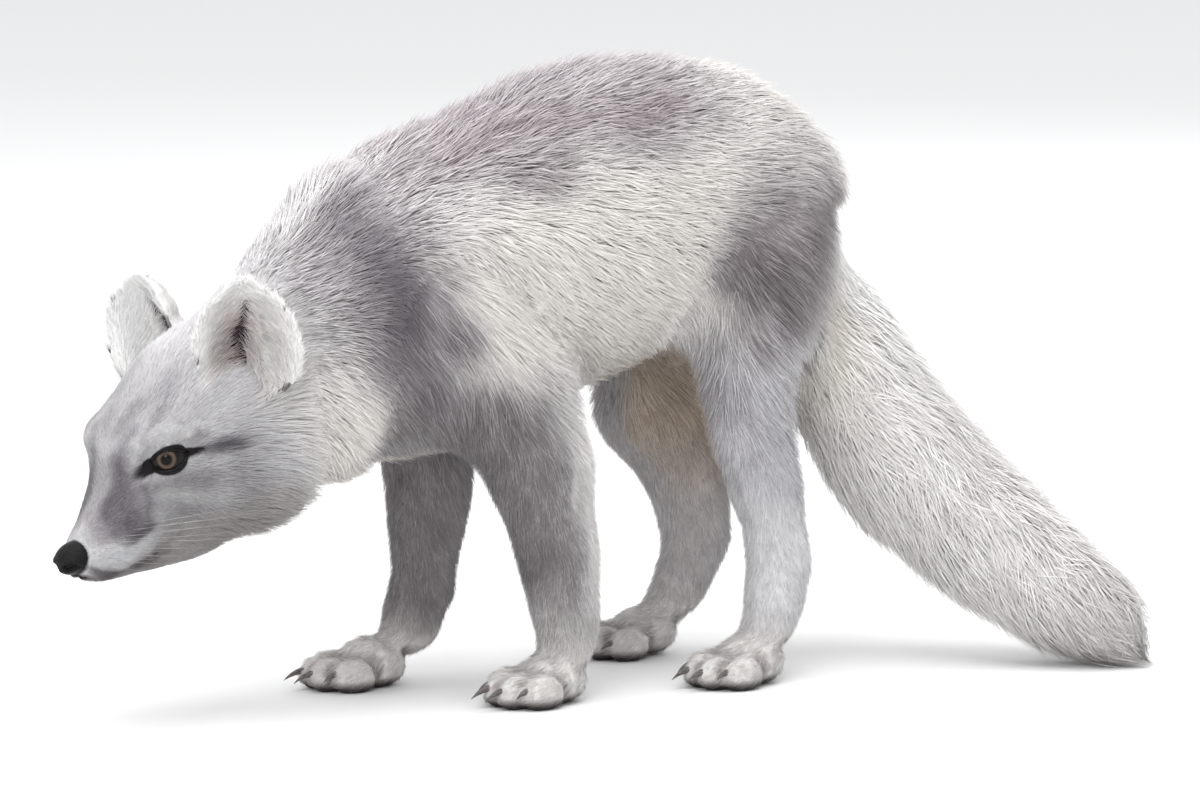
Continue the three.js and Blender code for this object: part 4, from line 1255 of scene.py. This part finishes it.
# Painted shade: the ears' slits are coloured nearly black for the shade inside them.
slit_shade = step(0.15, 0.65, slit)[:, None]
skin_colour = skin_colour * (1 - 0.94 * slit_shade) + slit_shade * SLIT_SHADE_COLOUR
black_skin = np.maximum(bare, 0.75 * soles)
set_attribute(skin.data, "coat", "FLOAT_COLOR", with_alpha(skin_colour))
set_attribute(skin.data, "bare", "FLOAT", black_skin)
select_only(skin)
bpy.ops.object.shade_smooth()
bpy.ops.object.mode_set(mode="EDIT")
bpy.ops.mesh.select_all(action="SELECT")
bpy.ops.uv.smart_project(angle_limit=math.radians(66), island_margin=0.001)
bpy.ops.object.mode_set(mode="OBJECT")
skin.data.uv_layers[0].name = "OFBake"
skin.data.materials.append(skin_material)
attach(skin, "root")
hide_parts(*FLESH)
skin.data.calc_loop_triangles()
print("skin unwrapped:", len(skin.data.loop_triangles), "triangles")

# %% [markdown]
# ## Lid rims and eyeballs
# A lid ends in a round wet edge. It is a thin ring laid along the opening, just proud of the ball. The
# eyeball is a ball whose pole looks along the gaze, so that its UV map gives rings round the pupil, and the
# clear bulge in front is shaped into it. The fox looks ahead and a little upwards, past its low-held brow.
# %% Meshes from arrays
def new_piece(name, points, faces, material, smooth=True):
    """A mesh object from arrays of places, in metres, and of faces with equal corner counts."""
    faces = np.asarray(faces)
    mesh = bpy.data.meshes.new(name)
    mesh.vertices.add(len(points))
    mesh.vertices.foreach_set("co", np.ascontiguousarray(points, np.float32).ravel())
    mesh.loops.add(faces.size)
    mesh.loops.foreach_set("vertex_index", faces.ravel().astype(np.int32))
    mesh.polygons.add(len(faces))
    mesh.polygons.foreach_set("loop_start", np.arange(0, faces.size, faces.shape[1], dtype=np.int32))
    mesh.polygons.foreach_set("use_smooth", np.full(len(faces), smooth))
    mesh.update(calc_edges=True)
    mesh.materials.append(material)
    piece = bpy.data.objects.new(name, mesh)
    bpy.context.scene.collection.objects.link(piece)
    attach(piece, "root")
    return piece


def face_outwards(piece):
    select_only(piece)
    bpy.ops.object.mode_set(mode="EDIT")
    bpy.ops.mesh.select_all(action="SELECT")
    bpy.ops.mesh.normals_make_consistent(inside=False)
    bpy.ops.object.mode_set(mode="OBJECT")


def ring_faces(rings, sides, closed):
    """Quads between rings of points, the last joined to the first where closed."""
    faces = []
    for i in range(rings if closed else rings - 1):
        a, b = i * sides, (i + 1) % rings * sides
        faces += [(a + j, a + (j + 1) % sides, b + (j + 1) % sides, b + j) for j in range(sides)]
    return faces


rim_material, tree, shader = node_material("wet black rim")
noise = new_node(tree, "ShaderNodeTexNoise", {"Vector": object_place(tree), "Scale": 1500.0}).outputs["Fac"]
set_inputs(shader, {
    "Base Color": range_node(tree, noise, 0.003, 0.008),
    "Roughness": range_node(tree, noise, 0.16, 0.34),
    "Specular IOR Level": 0.12,
})

RIM_RADIUS = 0.62
RIM_SIDES = 8
RIM_PROUD = 0.25
for side, side_name in ((1, "left"), (-1, "right")):
    on_ball = np.hstack([opening, np.zeros((len(opening), 1))])
    on_ball[:, 2] = np.sqrt(np.maximum((EYE_RADIUS + RIM_PROUD) ** 2 - (opening ** 2).sum(1), 9))
    ahead = unit(np.roll(on_ball, -1, 0) - np.roll(on_ball, 1, 0))
    away = unit(on_ball)
    across = unit(np.cross(ahead, away))
    angle = np.linspace(0, 2 * math.pi, RIM_SIDES, endpoint=False)
    ring = RIM_RADIUS * (np.cos(angle)[:, None, None] * across + np.sin(angle)[:, None, None] * away)
    tube = (on_ball + ring).transpose(1, 0, 2).reshape(-1, 3)
    places = from_head(tube @ eye_axes(side) + eye_place(side))
    wall = ring_faces(len(opening), RIM_SIDES, True)
    rim = new_piece("lid_rim_" + side_name, places, wall, rim_material)
    face_outwards(rim)
print("two lid rims of", len(opening) * RIM_SIDES, "points")

# %% Eyeballs
GAZE = [0.57, 0.75, 0.30]  # in the head's frame, for the left eye
IRIS_RADIUS = 4.9
PUPIL_RADIUS = 2.1
CORNEA_PROUD = 0.7
eye_material, tree, shader = node_material("amber eye")
eye_map = new_node(tree, "ShaderNodeUVMap", uv_map="UVMap").outputs["UV"]
on_map = new_node(tree, "ShaderNodeSeparateXYZ", {0: eye_map})
from_pole = math_node(tree, "SUBTRACT", 1.0, on_map.outputs["Y"])
streak_place = new_node(tree, "ShaderNodeCombineXYZ", {"X": on_map.outputs["X"]}).outputs[0]
streaks = new_node(
    tree, "ShaderNodeTexNoise", {"Vector": streak_place, "Scale": 55.0, "Detail": 3.0, "Roughness": 0.7}
).outputs["Fac"]
ring_value = math_node(tree, "ADD", from_pole, range_node(tree, streaks, -0.010, 0.010))
iris = new_node(tree, "ShaderNodeValToRGB", {"Fac": ring_value})


def ring_at(radius):
    """Where a circle of that radius on the ball lies between the poles, from 0 to 1."""
    return math.asin(radius / EYE_RADIUS) / math.pi


RINGS = [
    (0, (0.002, 0.002, 0.002)),
    (ring_at(PUPIL_RADIUS), (0.003, 0.002, 0.002)),
    (ring_at(PUPIL_RADIUS + 0.35), (0.030, 0.021, 0.015)),
    (ring_at(PUPIL_RADIUS + 1.2), (0.088, 0.061, 0.044)),
    (ring_at(IRIS_RADIUS - 0.8), (0.060, 0.039, 0.028)),
    (ring_at(IRIS_RADIUS - 0.2), (0.009, 0.006, 0.005)),
    (ring_at(IRIS_RADIUS + 0.4), (0.006, 0.005, 0.005)),
    (ring_at(8.4), (0.016, 0.012, 0.011)),
]
stops = iris.color_ramp.elements
for number, (place_on_ramp, colour) in enumerate(RINGS):
    stop = stops[number] if number < 2 else stops.new(place_on_ramp)
    stop.position = place_on_ramp
    stop.color = (*colour, 1)
iris_colour = new_node(
    tree, "ShaderNodeVectorMath",
    {0: iris.outputs["Color"], "Scale": range_node(tree, streaks, 0.65, 1.35)}, operation="SCALE",
)
set_inputs(shader, {
    "Base Color": iris_colour.outputs["Vector"],
    "Roughness": 0.45,
    "Specular IOR Level": 0.0,
    "Coat Weight": 0.45,
    "Coat Roughness": 0.02,
    "Coat IOR": 1.38,
})
for side, side_name in ((1, "left"), (-1, "right")):
    middle = Vector(from_head(eye_place(side)))
    gaze = Vector(head_to_row(unit(np.array(GAZE) * [1, side, 1])))
    bpy.ops.object.select_all(action="DESELECT")
    bpy.ops.mesh.primitive_uv_sphere_add(segments=64, ring_count=48, radius=EYE_RADIUS * MM)
    eyeball = bpy.context.active_object
    eyeball.name = "eyeball_" + side_name
    local = points_of(eyeball.data)
    sideways = np.linalg.norm(local[:, :2], axis=1) / MM
    bulge = CORNEA_PROUD * step(IRIS_RADIUS + 0.8, 1.0, sideways) * (local[:, 2] > 0)
    local = local * (1 + bulge / EYE_RADIUS)[:, None]
    turn = np.array(gaze.to_track_quat("Z", "Y").to_matrix())
    move_points(eyeball.data, local @ turn.T + np.array(middle))
    bpy.ops.object.shade_smooth()
    eyeball.data.materials.append(eye_material)
    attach(eyeball, "root")
    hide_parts("eye_" + side_name)
print("eyeballs of radius", EYE_RADIUS, "mm")

# %% [markdown]
# ## The nose
# The nose pad is a rounded, pebbled leather. A fine ball is squared off a little and narrowed towards the
# lip. Two nostrils are pressed in, each with a slit that curls back round the side, and a groove runs down
# the middle.
# %% Nose pad
bpy.ops.object.select_all(action="DESELECT")
bpy.ops.mesh.primitive_ico_sphere_add(subdivisions=6, radius=1)
nose = bpy.context.active_object
nose.name = "nose_pad"
ball_places = points_of(nose.data)
squarer = np.sign(ball_places) * np.abs(ball_places) ** [0.90, 0.86, 0.90]
local = squarer / np.linalg.norm(squarer, axis=1)[:, None] ** 0.35 * NOSE_RADII
local[:, 1] *= 1 - 0.30 * step(0, -7, local[:, 2])
local[:, 0] -= 0.9 * step(-1, -7, local[:, 2]) * step(0, 6, local[:, 0])
move_points(nose.data, local)
nose_normals = normals_of(nose.data)
folded = mirrored(local)
NOSTRIL = [(8.2, 3.6, 0.2), (6.6, 6.2, 0.2), (4.0, 8.0, -1.6), (1.6, 8.4, -3.6)]
hole = step(1.2, -0.6, from_line(folded, NOSTRIL, [1.4, 1.3, 0.4, 0.1]))
groove = step(0.9, 0.0, from_line(folded, [(9.5, 0, 2.5), (9, 0, -3), (6, 0, -8)]))
wing = step(2.4, 0.0, from_line(folded, [(7.4, 4.2, 3.2), (4.6, 7.4, 2.4)]))
local = local - nose_normals * (3.0 * hole + 0.6 * groove - 0.5 * wing * (1 - hole))[:, None]
move_points(nose.data, from_head(local + NOSE_PLACE))
nose_material, tree, shader = node_material("wet nose leather")
place = object_place(tree)
pebbles = new_node(
    tree, "ShaderNodeTexVoronoi", {"Vector": place, "Scale": 1150.0}, feature="DISTANCE_TO_EDGE"
)
pebble_height = new_node(
    tree, "ShaderNodeMapRange", {"Value": pebbles.outputs["Distance"], "From Max": 0.25}
).outputs["Result"]
bump = new_node(tree, "ShaderNodeBump", {"Height": pebble_height, "Strength": 0.5, "Distance": 0.00025})
# Painted shade: the leather is a little darker in the grooves between the pebbles.
set_inputs(shader, {
    "Base Color": range_node(tree, pebble_height, 0.002, 0.007),
    "Roughness": range_node(tree, pebble_height, 0.55, 0.33),
    "Specular IOR Level": 0.15,
    "Normal": bump.outputs["Normal"],
})
select_only(nose)
bpy.ops.object.shade_smooth()
nose.data.materials.append(nose_material)
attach(nose, "root")
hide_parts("nose")
print("nose pad:", len(nose.data.vertices), "points")

# %% [markdown]
# ## Claws and whiskers
# Each claw is a curved horn cone. The solid gives its root and the way to its tip, and rings of points
# between them get smaller and dip forwards. A whisker is the same thing drawn long and thin.
# %% Horn cones
def cone_points(curve, radii, sides, flat=1.0):
    """Rings of points round a curve, pointed at its end. flat squeezes each ring sideways."""
    curve = np.asarray(curve, float)
    ahead = unit(np.gradient(curve, axis=0))
    across = unit(np.cross(ahead, [0, 0, 1.0]))
    above = np.cross(across, ahead)
    angle = np.linspace(0, 2 * math.pi, sides, endpoint=False)
    ring = flat * np.cos(angle)[:, None, None] * across + np.sin(angle)[:, None, None] * above
    return (curve + ring * np.asarray(radii)[:, None]).transpose(1, 0, 2).reshape(-1, 3)


def cone_faces(rings, sides):
    """Triangles over all rings and the two ends."""
    quads = np.array(ring_faces(rings, sides, False))
    faces = [quads[:, [0, 1, 2]], quads[:, [0, 2, 3]]]
    last = (rings - 1) * sides
    faces.append(np.array([(0, j + 1, j) for j in range(1, sides - 1)]))
    faces.append(np.array([(last, last + j, last + j + 1) for j in range(1, sides - 1)]))
    return np.concatenate(faces)


claw_material, tree, shader = node_material("claw horn")
along_grain = (1400, 160, 1400)
grain_place = new_node(tree, "ShaderNodeMapping", {"Vector": object_place(tree), "Scale": along_grain})
grain = new_node(
    tree, "ShaderNodeTexNoise", {"Vector": grain_place.outputs["Vector"], "Scale": 1.0, "Detail": 3.0}
).outputs["Fac"]
horn = new_node(tree, "ShaderNodeValToRGB", {"Fac": grain})
horn.color_ramp.elements[0].position = 0.3
horn.color_ramp.elements[0].color = (0.045, 0.038, 0.038, 1)
horn.color_ramp.elements[1].position = 0.75
horn.color_ramp.elements[1].color = (0.16, 0.14, 0.135, 1)
set_inputs(shader, {"Base Color": horn.outputs["Color"], "Roughness": range_node(tree, grain, 0.28, 0.48)})

CLAW_RINGS, CLAW_SIDES = 9, 12
CLAW_RADIUS = 1.7
CLAW_TIP_RADIUS = 0.10
CLAW_NARROWED = 0.72
CLAW_ARCH = 2.3
CLAW_KEPT = {1: 0.60, 2: 0.82, 3: 0.82, 4: 0.60}  # of the solid's length; less on the toes at the sides
for paw in ("fore", "hind"):
    for side_name in ("left", "right"):
        names = [f"{paw}claw_{side_name}_{number}" for number in CLAW_KEPT]
        claw_points, claw_faces = [], []
        for name, kept in zip(names, CLAW_KEPT.values()):
            corners = points_of(frame["nodes"][name].data) / MM
            front, rear = corners[:, 1].min(), corners[:, 1].max()
            tip = corners[corners[:, 1] < front + 0.8].mean(0) + [0, 0, -0.3]
            root = corners[corners[:, 1] > rear - 3].mean(0)
            tip = root + kept * (tip - root)
            bend = root * 0.45 + tip * 0.55 + [0, 0, CLAW_ARCH]
            t = np.linspace(0, 1, CLAW_RINGS)[:, None]
            curve = (1 - t) ** 2 * root + 2 * t * (1 - t) * bend + t * t * tip
            radii = CLAW_RADIUS * (1 - t[:, 0] ** 1.6) + CLAW_TIP_RADIUS
            first = CLAW_RINGS * CLAW_SIDES * len(claw_faces)
            claw_faces.append(cone_faces(CLAW_RINGS, CLAW_SIDES) + first)
            claw_points.append(cone_points(curve, radii, CLAW_SIDES, CLAW_NARROWED))
        claws = new_piece(
            f"claws_{paw}paw_{side_name}", np.concatenate(claw_points) * MM, np.concatenate(claw_faces),
            claw_material,
        )
        face_outwards(claws)
        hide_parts(*names)
print("sixteen claws")

# %% Whiskers
whisker_material, tree, shader = node_material("whisker")
noise = new_node(tree, "ShaderNodeTexNoise", {"Vector": object_place(tree), "Scale": 60.0})
tone = new_node(tree, "ShaderNodeValToRGB", {"Fac": noise.outputs["Fac"]})
tone.color_ramp.elements[0].color = (0.05, 0.045, 0.045, 1)
tone.color_ramp.elements[1].color = (0.60, 0.58, 0.56, 1)
set_inputs(shader, {"Base Color": tone.outputs["Color"], "Roughness": 0.4})
WHISKER_ROWS = [(-20, 5), (-24, 6), (-28, 5)]  # up in the head's frame, and how many
WHISKER_RINGS, WHISKER_SIDES = 9, 4
WHISKER_RADIUS = 0.14
SHORTEST_WHISKER = 17
NEXT_LONGER_BY = 5.5
FRONT_WHISKER = 42  # forwards in the head's frame
head_tree = BVHTree.FromObject(skin, bpy.context.evaluated_depsgraph_get())
for side, side_name in ((1, "left"), (-1, "right")):
    whisker_points, whisker_faces = [], []
    for row, (up, many) in enumerate(WHISKER_ROWS):
        for number in range(many):
            forward = FRONT_WHISKER - 5 * number + 1.5 * row
            aim = Vector(from_head([forward, side * 40, up]))
            inwards = Vector(head_to_row([0, -side, 0]))
            root = in_head([head_tree.ray_cast(aim, inwards)[0]])[0]
            long = (SHORTEST_WHISKER + NEXT_LONGER_BY * number) * random.uniform(0.85, 1.15)
            t = np.linspace(0, 1, WHISKER_RINGS)[:, None]
            out = unit(np.array([-0.25 - 0.08 * number, side * 1.0, -0.10 - 0.12 * row]))
            back = np.array([-0.55, 0, -0.25])
            curve = root - out * 0.8 + out * long * t + back * long * 0.6 * t * t
            radii = WHISKER_RADIUS * (1 - 0.85 * t[:, 0])
            first = WHISKER_RINGS * WHISKER_SIDES * len(whisker_faces)
            whisker_faces.append(cone_faces(WHISKER_RINGS, WHISKER_SIDES) + first)
            whisker_points.append(from_head(cone_points(curve, radii, WHISKER_SIDES)))
    whiskers = new_piece(
        "whiskers_" + side_name, np.concatenate(whisker_points), np.concatenate(whisker_faces),
        whisker_material,
    )
    face_outwards(whiskers)
print("whiskers on both sides")

# %% [markdown]
# ## The coat
# Hair this dense is built as tufts, each standing for a few hairs. Long ones are bent spindles: they start
# on the skin, follow the lie of the coat in two steps over the body and rise as they go, so that the tips
# end near the solids' outline. Short ones are straight spikes. Tufts in a clump lean together into a
# pointed lock. All the tufts of a piece are one mesh, built from arrays, which takes seconds where
# operators would take hours.
# %% The skin as arrays
points = points_of(skin.data)
normals = normals_of(skin.data)
lie = flat_to(lie, normals)
triangles = np.empty(len(skin.data.loop_triangles) * 3, np.int64)
skin.data.loop_triangles.foreach_get("vertices", triangles)
triangles = triangles.reshape(-1, 3)
loops = np.empty(len(skin.data.loop_triangles) * 3, np.int64)
skin.data.loop_triangles.foreach_get("loops", loops)
loops = loops.reshape(-1, 3)
skin_map = np.empty(len(skin.data.loops) * 2)
skin.data.uv_layers["OFBake"].data.foreach_get("uv", skin_map)
skin_map = skin_map.reshape(-1, 2)
edges = points[triangles[:, 1:]] - points[triangles[:, :1]]
areas = np.linalg.norm(np.cross(edges[:, 0], edges[:, 1]), axis=1) / 2 / MM ** 2
skin_tree = BVHTree.FromPolygons(points.tolist(), triangles.tolist())
print("skin area", int(areas.sum()), "square millimetres")

# %% Length, width and growth of the hair
tail_share = neighbours.spread(is_part["tail"].astype(float), 10)
ear_share = neighbours.spread(ears.astype(float), 3)
paw_share = neighbours.spread(parts_like("paw").astype(float), 4)
end_of_tail = tail_share * step(0.35, 0.9, normals @ unit(TIP_OF_TAIL - ROOT_OF_TAIL))
hair_length = 2.6 + 1.35 * depth + 11 * tail_share
hair_length = hair_length + 2.4 * ear_share + 3.6 * inner_ear + 1.6 * ear_rim + 2.2 * paw_share
round_eye = step(14, 3, from_eye(head_places) - EYE_RADIUS)
hair_length *= 1 - 0.35 * round_eye - 0.20 * step(20, 45, head_places[:, 0])
hair_length *= 1 - 0.40 * end_of_tail
hair_width = (0.30 + 0.019 * hair_length) * (1 - 0.20 * tail_share)
rise = np.maximum(depth, 0.55) + 0.2 * ear_rim + 0.9 * inner_ear + 0.7 * paw_share + 8.0 * end_of_tail
growth = (1 - step(0.25, 0.6, bare)) * (1 - soles) * (1 - step(0.15, 0.4, slit)) * step(0.2, 1.6, height)
growth *= step(0.5, 1.5, lid_distance) * step(1.05, 1.13, from_nose)
crowding = growth * (1 + 1.2 * ear_rim) / (hair_length * hair_width)
print("hair from", hair_length.min().round(1), "to", hair_length.max().round(1), "mm long")


# %% One piece of coat
def mean_of(values, corners, shares):
    return (values[corners] * shares.reshape(shares.shape + (1,) * (values.ndim - 1))).sum(1)


def follow_skin(targets):
    """The nearest places on the skin, with the normal, the lie and the skin's points there."""
    found = [skin_tree.find_nearest(target) for target in targets.tolist()]
    feet = np.array([f[0][:] for f in found])
    corners = triangles[[f[2] for f in found]]
    return feet, unit(normals[corners].mean(1)), lie[corners].mean(1), corners


def turned(directions, axes, angles):
    return directions * np.cos(angles)[:, None] + np.cross(axes, directions) * np.sin(angles)[:, None]


# Point by point, a tuft says how bright it is, with painted shade darkening its root, how far towards the
# tip, and its place on the map.
SPIKE = dict(  # a ring of three at the root, and the tip
    faces=[(0, 1, 2), (0, 3, 1), (1, 3, 2), (2, 3, 0)],
    tone=[0.84, 0.84, 0.84, 1.05],
    towards_tip=[0, 0, 0, 1],
    patch=[(0, 0), (1, 0), (0.5, 0.3), (0.5, 1)],
)
SPINDLE = dict(  # the root, a ring of three half way, and the tip
    faces=[(1, 2, 0), (2, 3, 0), (3, 1, 0), (1, 4, 2), (2, 4, 3), (3, 4, 1)],
    tone=[0.80, 0.95, 0.95, 0.95, 1.05],
    towards_tip=[0, 0.5, 0.5, 0.5, 1],
    patch=[(0.5, 0), (0, 0.5), (1, 0.5), (0.5, 0.6), (0.5, 1)],
)
MAP_PATCH = 0.003
LENGTHS = 0.60, 1.28
WIDTHS = 0.7, 1.25
PULLS = 0.4, 1.25
MEAN_LIFT, LIFT_SPREAD, LEAST_LIFT, MOST_LIFT = 0.86, 0.20, 0.35, 1.22
STEPS_ALONG = 0.48, 0.52  # of a long tuft's length


def ring(centre, ahead, outwards, width):
    across = unit(np.cross(ahead, outwards))
    above = np.cross(across, unit(ahead))
    return [
        centre - across * width[:, None] / 2,
        centre + across * width[:, None] / 2,
        centre + above * width[:, None] * 0.45,
    ]


def coat_piece(name, chosen, count, seed, bent=True, free=False, clump=7, lean=0.42, stray=0.20):
    """Grows tufts on the chosen points of the skin: bent spindles, or straight spikes for short hair.

    Free tufts don't follow the skin over an edge, as on the ears.
    """
    rng = np.random.default_rng(seed)
    chance = areas * crowding[triangles].mean(1) * (chosen[triangles].mean(1) > 0.5)
    picked = rng.choice(len(triangles), count, p=chance / chance.sum())
    u, v = rng.random(count), rng.random(count)
    over = u + v > 1
    u[over], v[over] = 1 - u[over], 1 - v[over]
    shares = np.stack([1 - u - v, u, v], 1)
    corners = triangles[picked]
    root = mean_of(points, corners, shares)
    out = unit(mean_of(normals, corners, shares))
    along = flat_to(mean_of(lie, corners, shares), out)
    long = mean_of(hair_length, corners, shares) * rng.uniform(*LENGTHS, count) * MM
    wide = mean_of(hair_width, corners, shares) * rng.uniform(*WIDTHS, count) * MM
    high = mean_of(rise, corners, shares) * MM
    angle = rng.normal(0, stray, count) + 0.55 * (wander(root, 13, seed) - 0.5)
    lift = np.clip(rng.normal(MEAN_LIFT, LIFT_SPREAD, count), LEAST_LIFT, MOST_LIFT)
    along = turned(along, out, angle)

    if bent:
        foot_1, out_1, lie_1, _ = follow_skin(root + along * (STEPS_ALONG[0] * long)[:, None])
        along_1 = turned(flat_to(0.5 * along + 0.5 * lie_1, out_1), out_1, 0.5 * angle)
        foot_2, out_2, _, corners_2 = follow_skin(foot_1 + along_1 * (STEPS_ALONG[1] * long)[:, None])
        middle = foot_1 + out_1 * (0.62 * lift * high + 0.15 * MM)[:, None]
    else:
        foot_2, out_2, _, corners_2 = follow_skin(root + along * long[:, None])
    if free:
        foot_2, out_2 = root + along * long[:, None], out
    tip = foot_2 + out_2 * (lift * high + 0.12 * MM)[:, None]

    heads = rng.choice(count, count // clump, replace=False)
    clump_tree = KDTree(len(heads))
    for number, place in enumerate(root[heads].tolist()):
        clump_tree.insert(place, number)
    clump_tree.balance()
    leader = heads[[clump_tree.find(place)[1] for place in root.tolist()]]
    pull = (lean * rng.uniform(*PULLS, count))[:, None]
    near = (np.linalg.norm(root - root[leader], axis=1) < 0.35 * long)[:, None]
    tip = tip + near * pull * (tip[leader] - tip)
    tip[:, 2] = np.maximum(tip[:, 2], 0.4 * MM)
    root = root - out * 0.35 * MM
    if bent:
        middle = middle + near * 0.35 * pull * (middle[leader] - middle)
        middle[:, 2] = np.maximum(middle[:, 2], 0.8 * MM)
        kind, tuft = SPINDLE, [root, *ring(middle, tip - root, out_1, wide), tip]
        directions = [out, out_1, out_1, out_1, out_2]
    else:
        kind, tuft = SPIKE, [*ring(root, tip - root, out, wide), tip]
        directions = [out, out, out, out_2]
    faces = (np.array(kind["faces"]) + len(tuft) * np.arange(count)[:, None, None]).reshape(-1, 3)
    piece = new_piece(name, np.stack(tuft, 1).reshape(-1, 3), faces, coat_material)

    # Each tuft is light or dark by chance, weighed by the share of dark hair at its root and at its tip.
    third = np.full((count, 3), 1 / 3)
    chance_dark = rng.random(count)
    unevenness = 0.26 * (wander(root, 3.2, seed + 50) - 0.5)
    lucky = rng.normal(1, 0.045, (count, 1))
    end_colours = []
    for where, weights in ((corners, shares), (corners_2, third)):
        light_here, dark_here = mean_of(light, where, weights), mean_of(dark, where, weights)
        share_here = mean_of(share, where, weights)
        darkness = np.clip((share_here + unevenness * (0.4 + share_here) - chance_dark) / 0.5 + 0.5, 0, 1)
        darkness = (0.64 * darkness + 0.36 * share_here)[:, None]
        end_colours.append((light_here + darkness * (dark_here - light_here)) * lucky)
    root_colour, tip_colour = end_colours
    t = np.array(kind["towards_tip"])[:, None]
    # The tone is painted shade between the tufts: darker at each root, a little lighter at the tip.
    colours = (root_colour[:, None] * (1 - t) + tip_colour[:, None] * t) * np.array(kind["tone"])[:, None]
    silver = 0.14 * darkness[:, None] * t ** 2  # dark hair pales towards its tip
    colours = colours + silver * (light_here[:, None] - colours)
    set_attribute(piece.data, "coat", "FLOAT_COLOR", with_alpha(np.clip(colours, 0, 0.92).reshape(-1, 3)))

    place_on_map = (skin_map[loops[picked]] * shares[..., None]).sum(1)
    tuft_map = (place_on_map[:, None] + np.array(kind["patch"]) * MAP_PATCH).reshape(-1, 2)
    layer = piece.data.uv_layers.new(name="OFBake")
    layer.data.foreach_set("uv", tuft_map[faces.ravel()].astype(np.float32).ravel())

    # A tuft is shaded partly as the skin below it is, which keeps the coat soft.
    skin_directions = np.stack(directions, 1).reshape(-1, 3)
    softness = 0.30 if free else 0.66
    blended = unit(softness * skin_directions + (1.06 - softness) * unit(normals_of(piece.data)))
    piece.data.normals_split_custom_set_from_vertices(blended.tolist())
    return piece


on_left = head_places[:, 1] > 0
left_of_body = from_middle > 0
on_head_now = of_head + 0.7 * (wander(points, 8, 21) - 0.5) > 0.5
head_part = (is_part["head"] | is_part["neck"]) & on_head_now & ~ears
neck_part = (is_part["head"] | is_part["neck"]) & ~on_head_now & ~ears
short = dict(bent=False, clump=5, lean=0.30, stray=0.13)
COAT = [
    ("coat_head_left", head_part & on_left, 42000, short),
    ("coat_head_right", head_part & ~on_left, 41000, short),
    ("coat_ears", ears, 20000, dict(bent=False, free=True, clump=5, lean=0.35, stray=0.24)),
    ("coat_neck", neck_part, 26000, {}),
    ("coat_trunk_left", is_part["trunk"] & left_of_body, 33000, {}),
    ("coat_trunk_right", is_part["trunk"] & ~left_of_body, 33000, {}),
    ("coat_tail", is_part["tail"], 31000, dict(lean=0.36)),
    ("coat_forelegs", forelegs | parts_like("forepaw"), 42000, short),
    ("coat_hindlegs", hindlegs | parts_like("hindpaw"), 44000, short),
]
total = 0
for seed, (name, chosen, count, ways) in enumerate(COAT):
    piece = coat_piece(name, chosen, count, 100 + seed, **ways)
    total += len(piece.data.polygons)
    print(name, len(piece.data.polygons), "triangles")
print("coat:", total, "triangles")

# %% [markdown]
# ## The end
# The visual model's box is measured, and how far it reaches beyond the solids' box on each side is printed.
# %% Sizes, and finish
visual_low, visual_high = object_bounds()
grown = [round((b - a) / MM, 1) for a, b in zip((*visual_low, *cad_high), (*cad_low, *visual_high))]
print("grown beyond the solids by", grown, "mm")
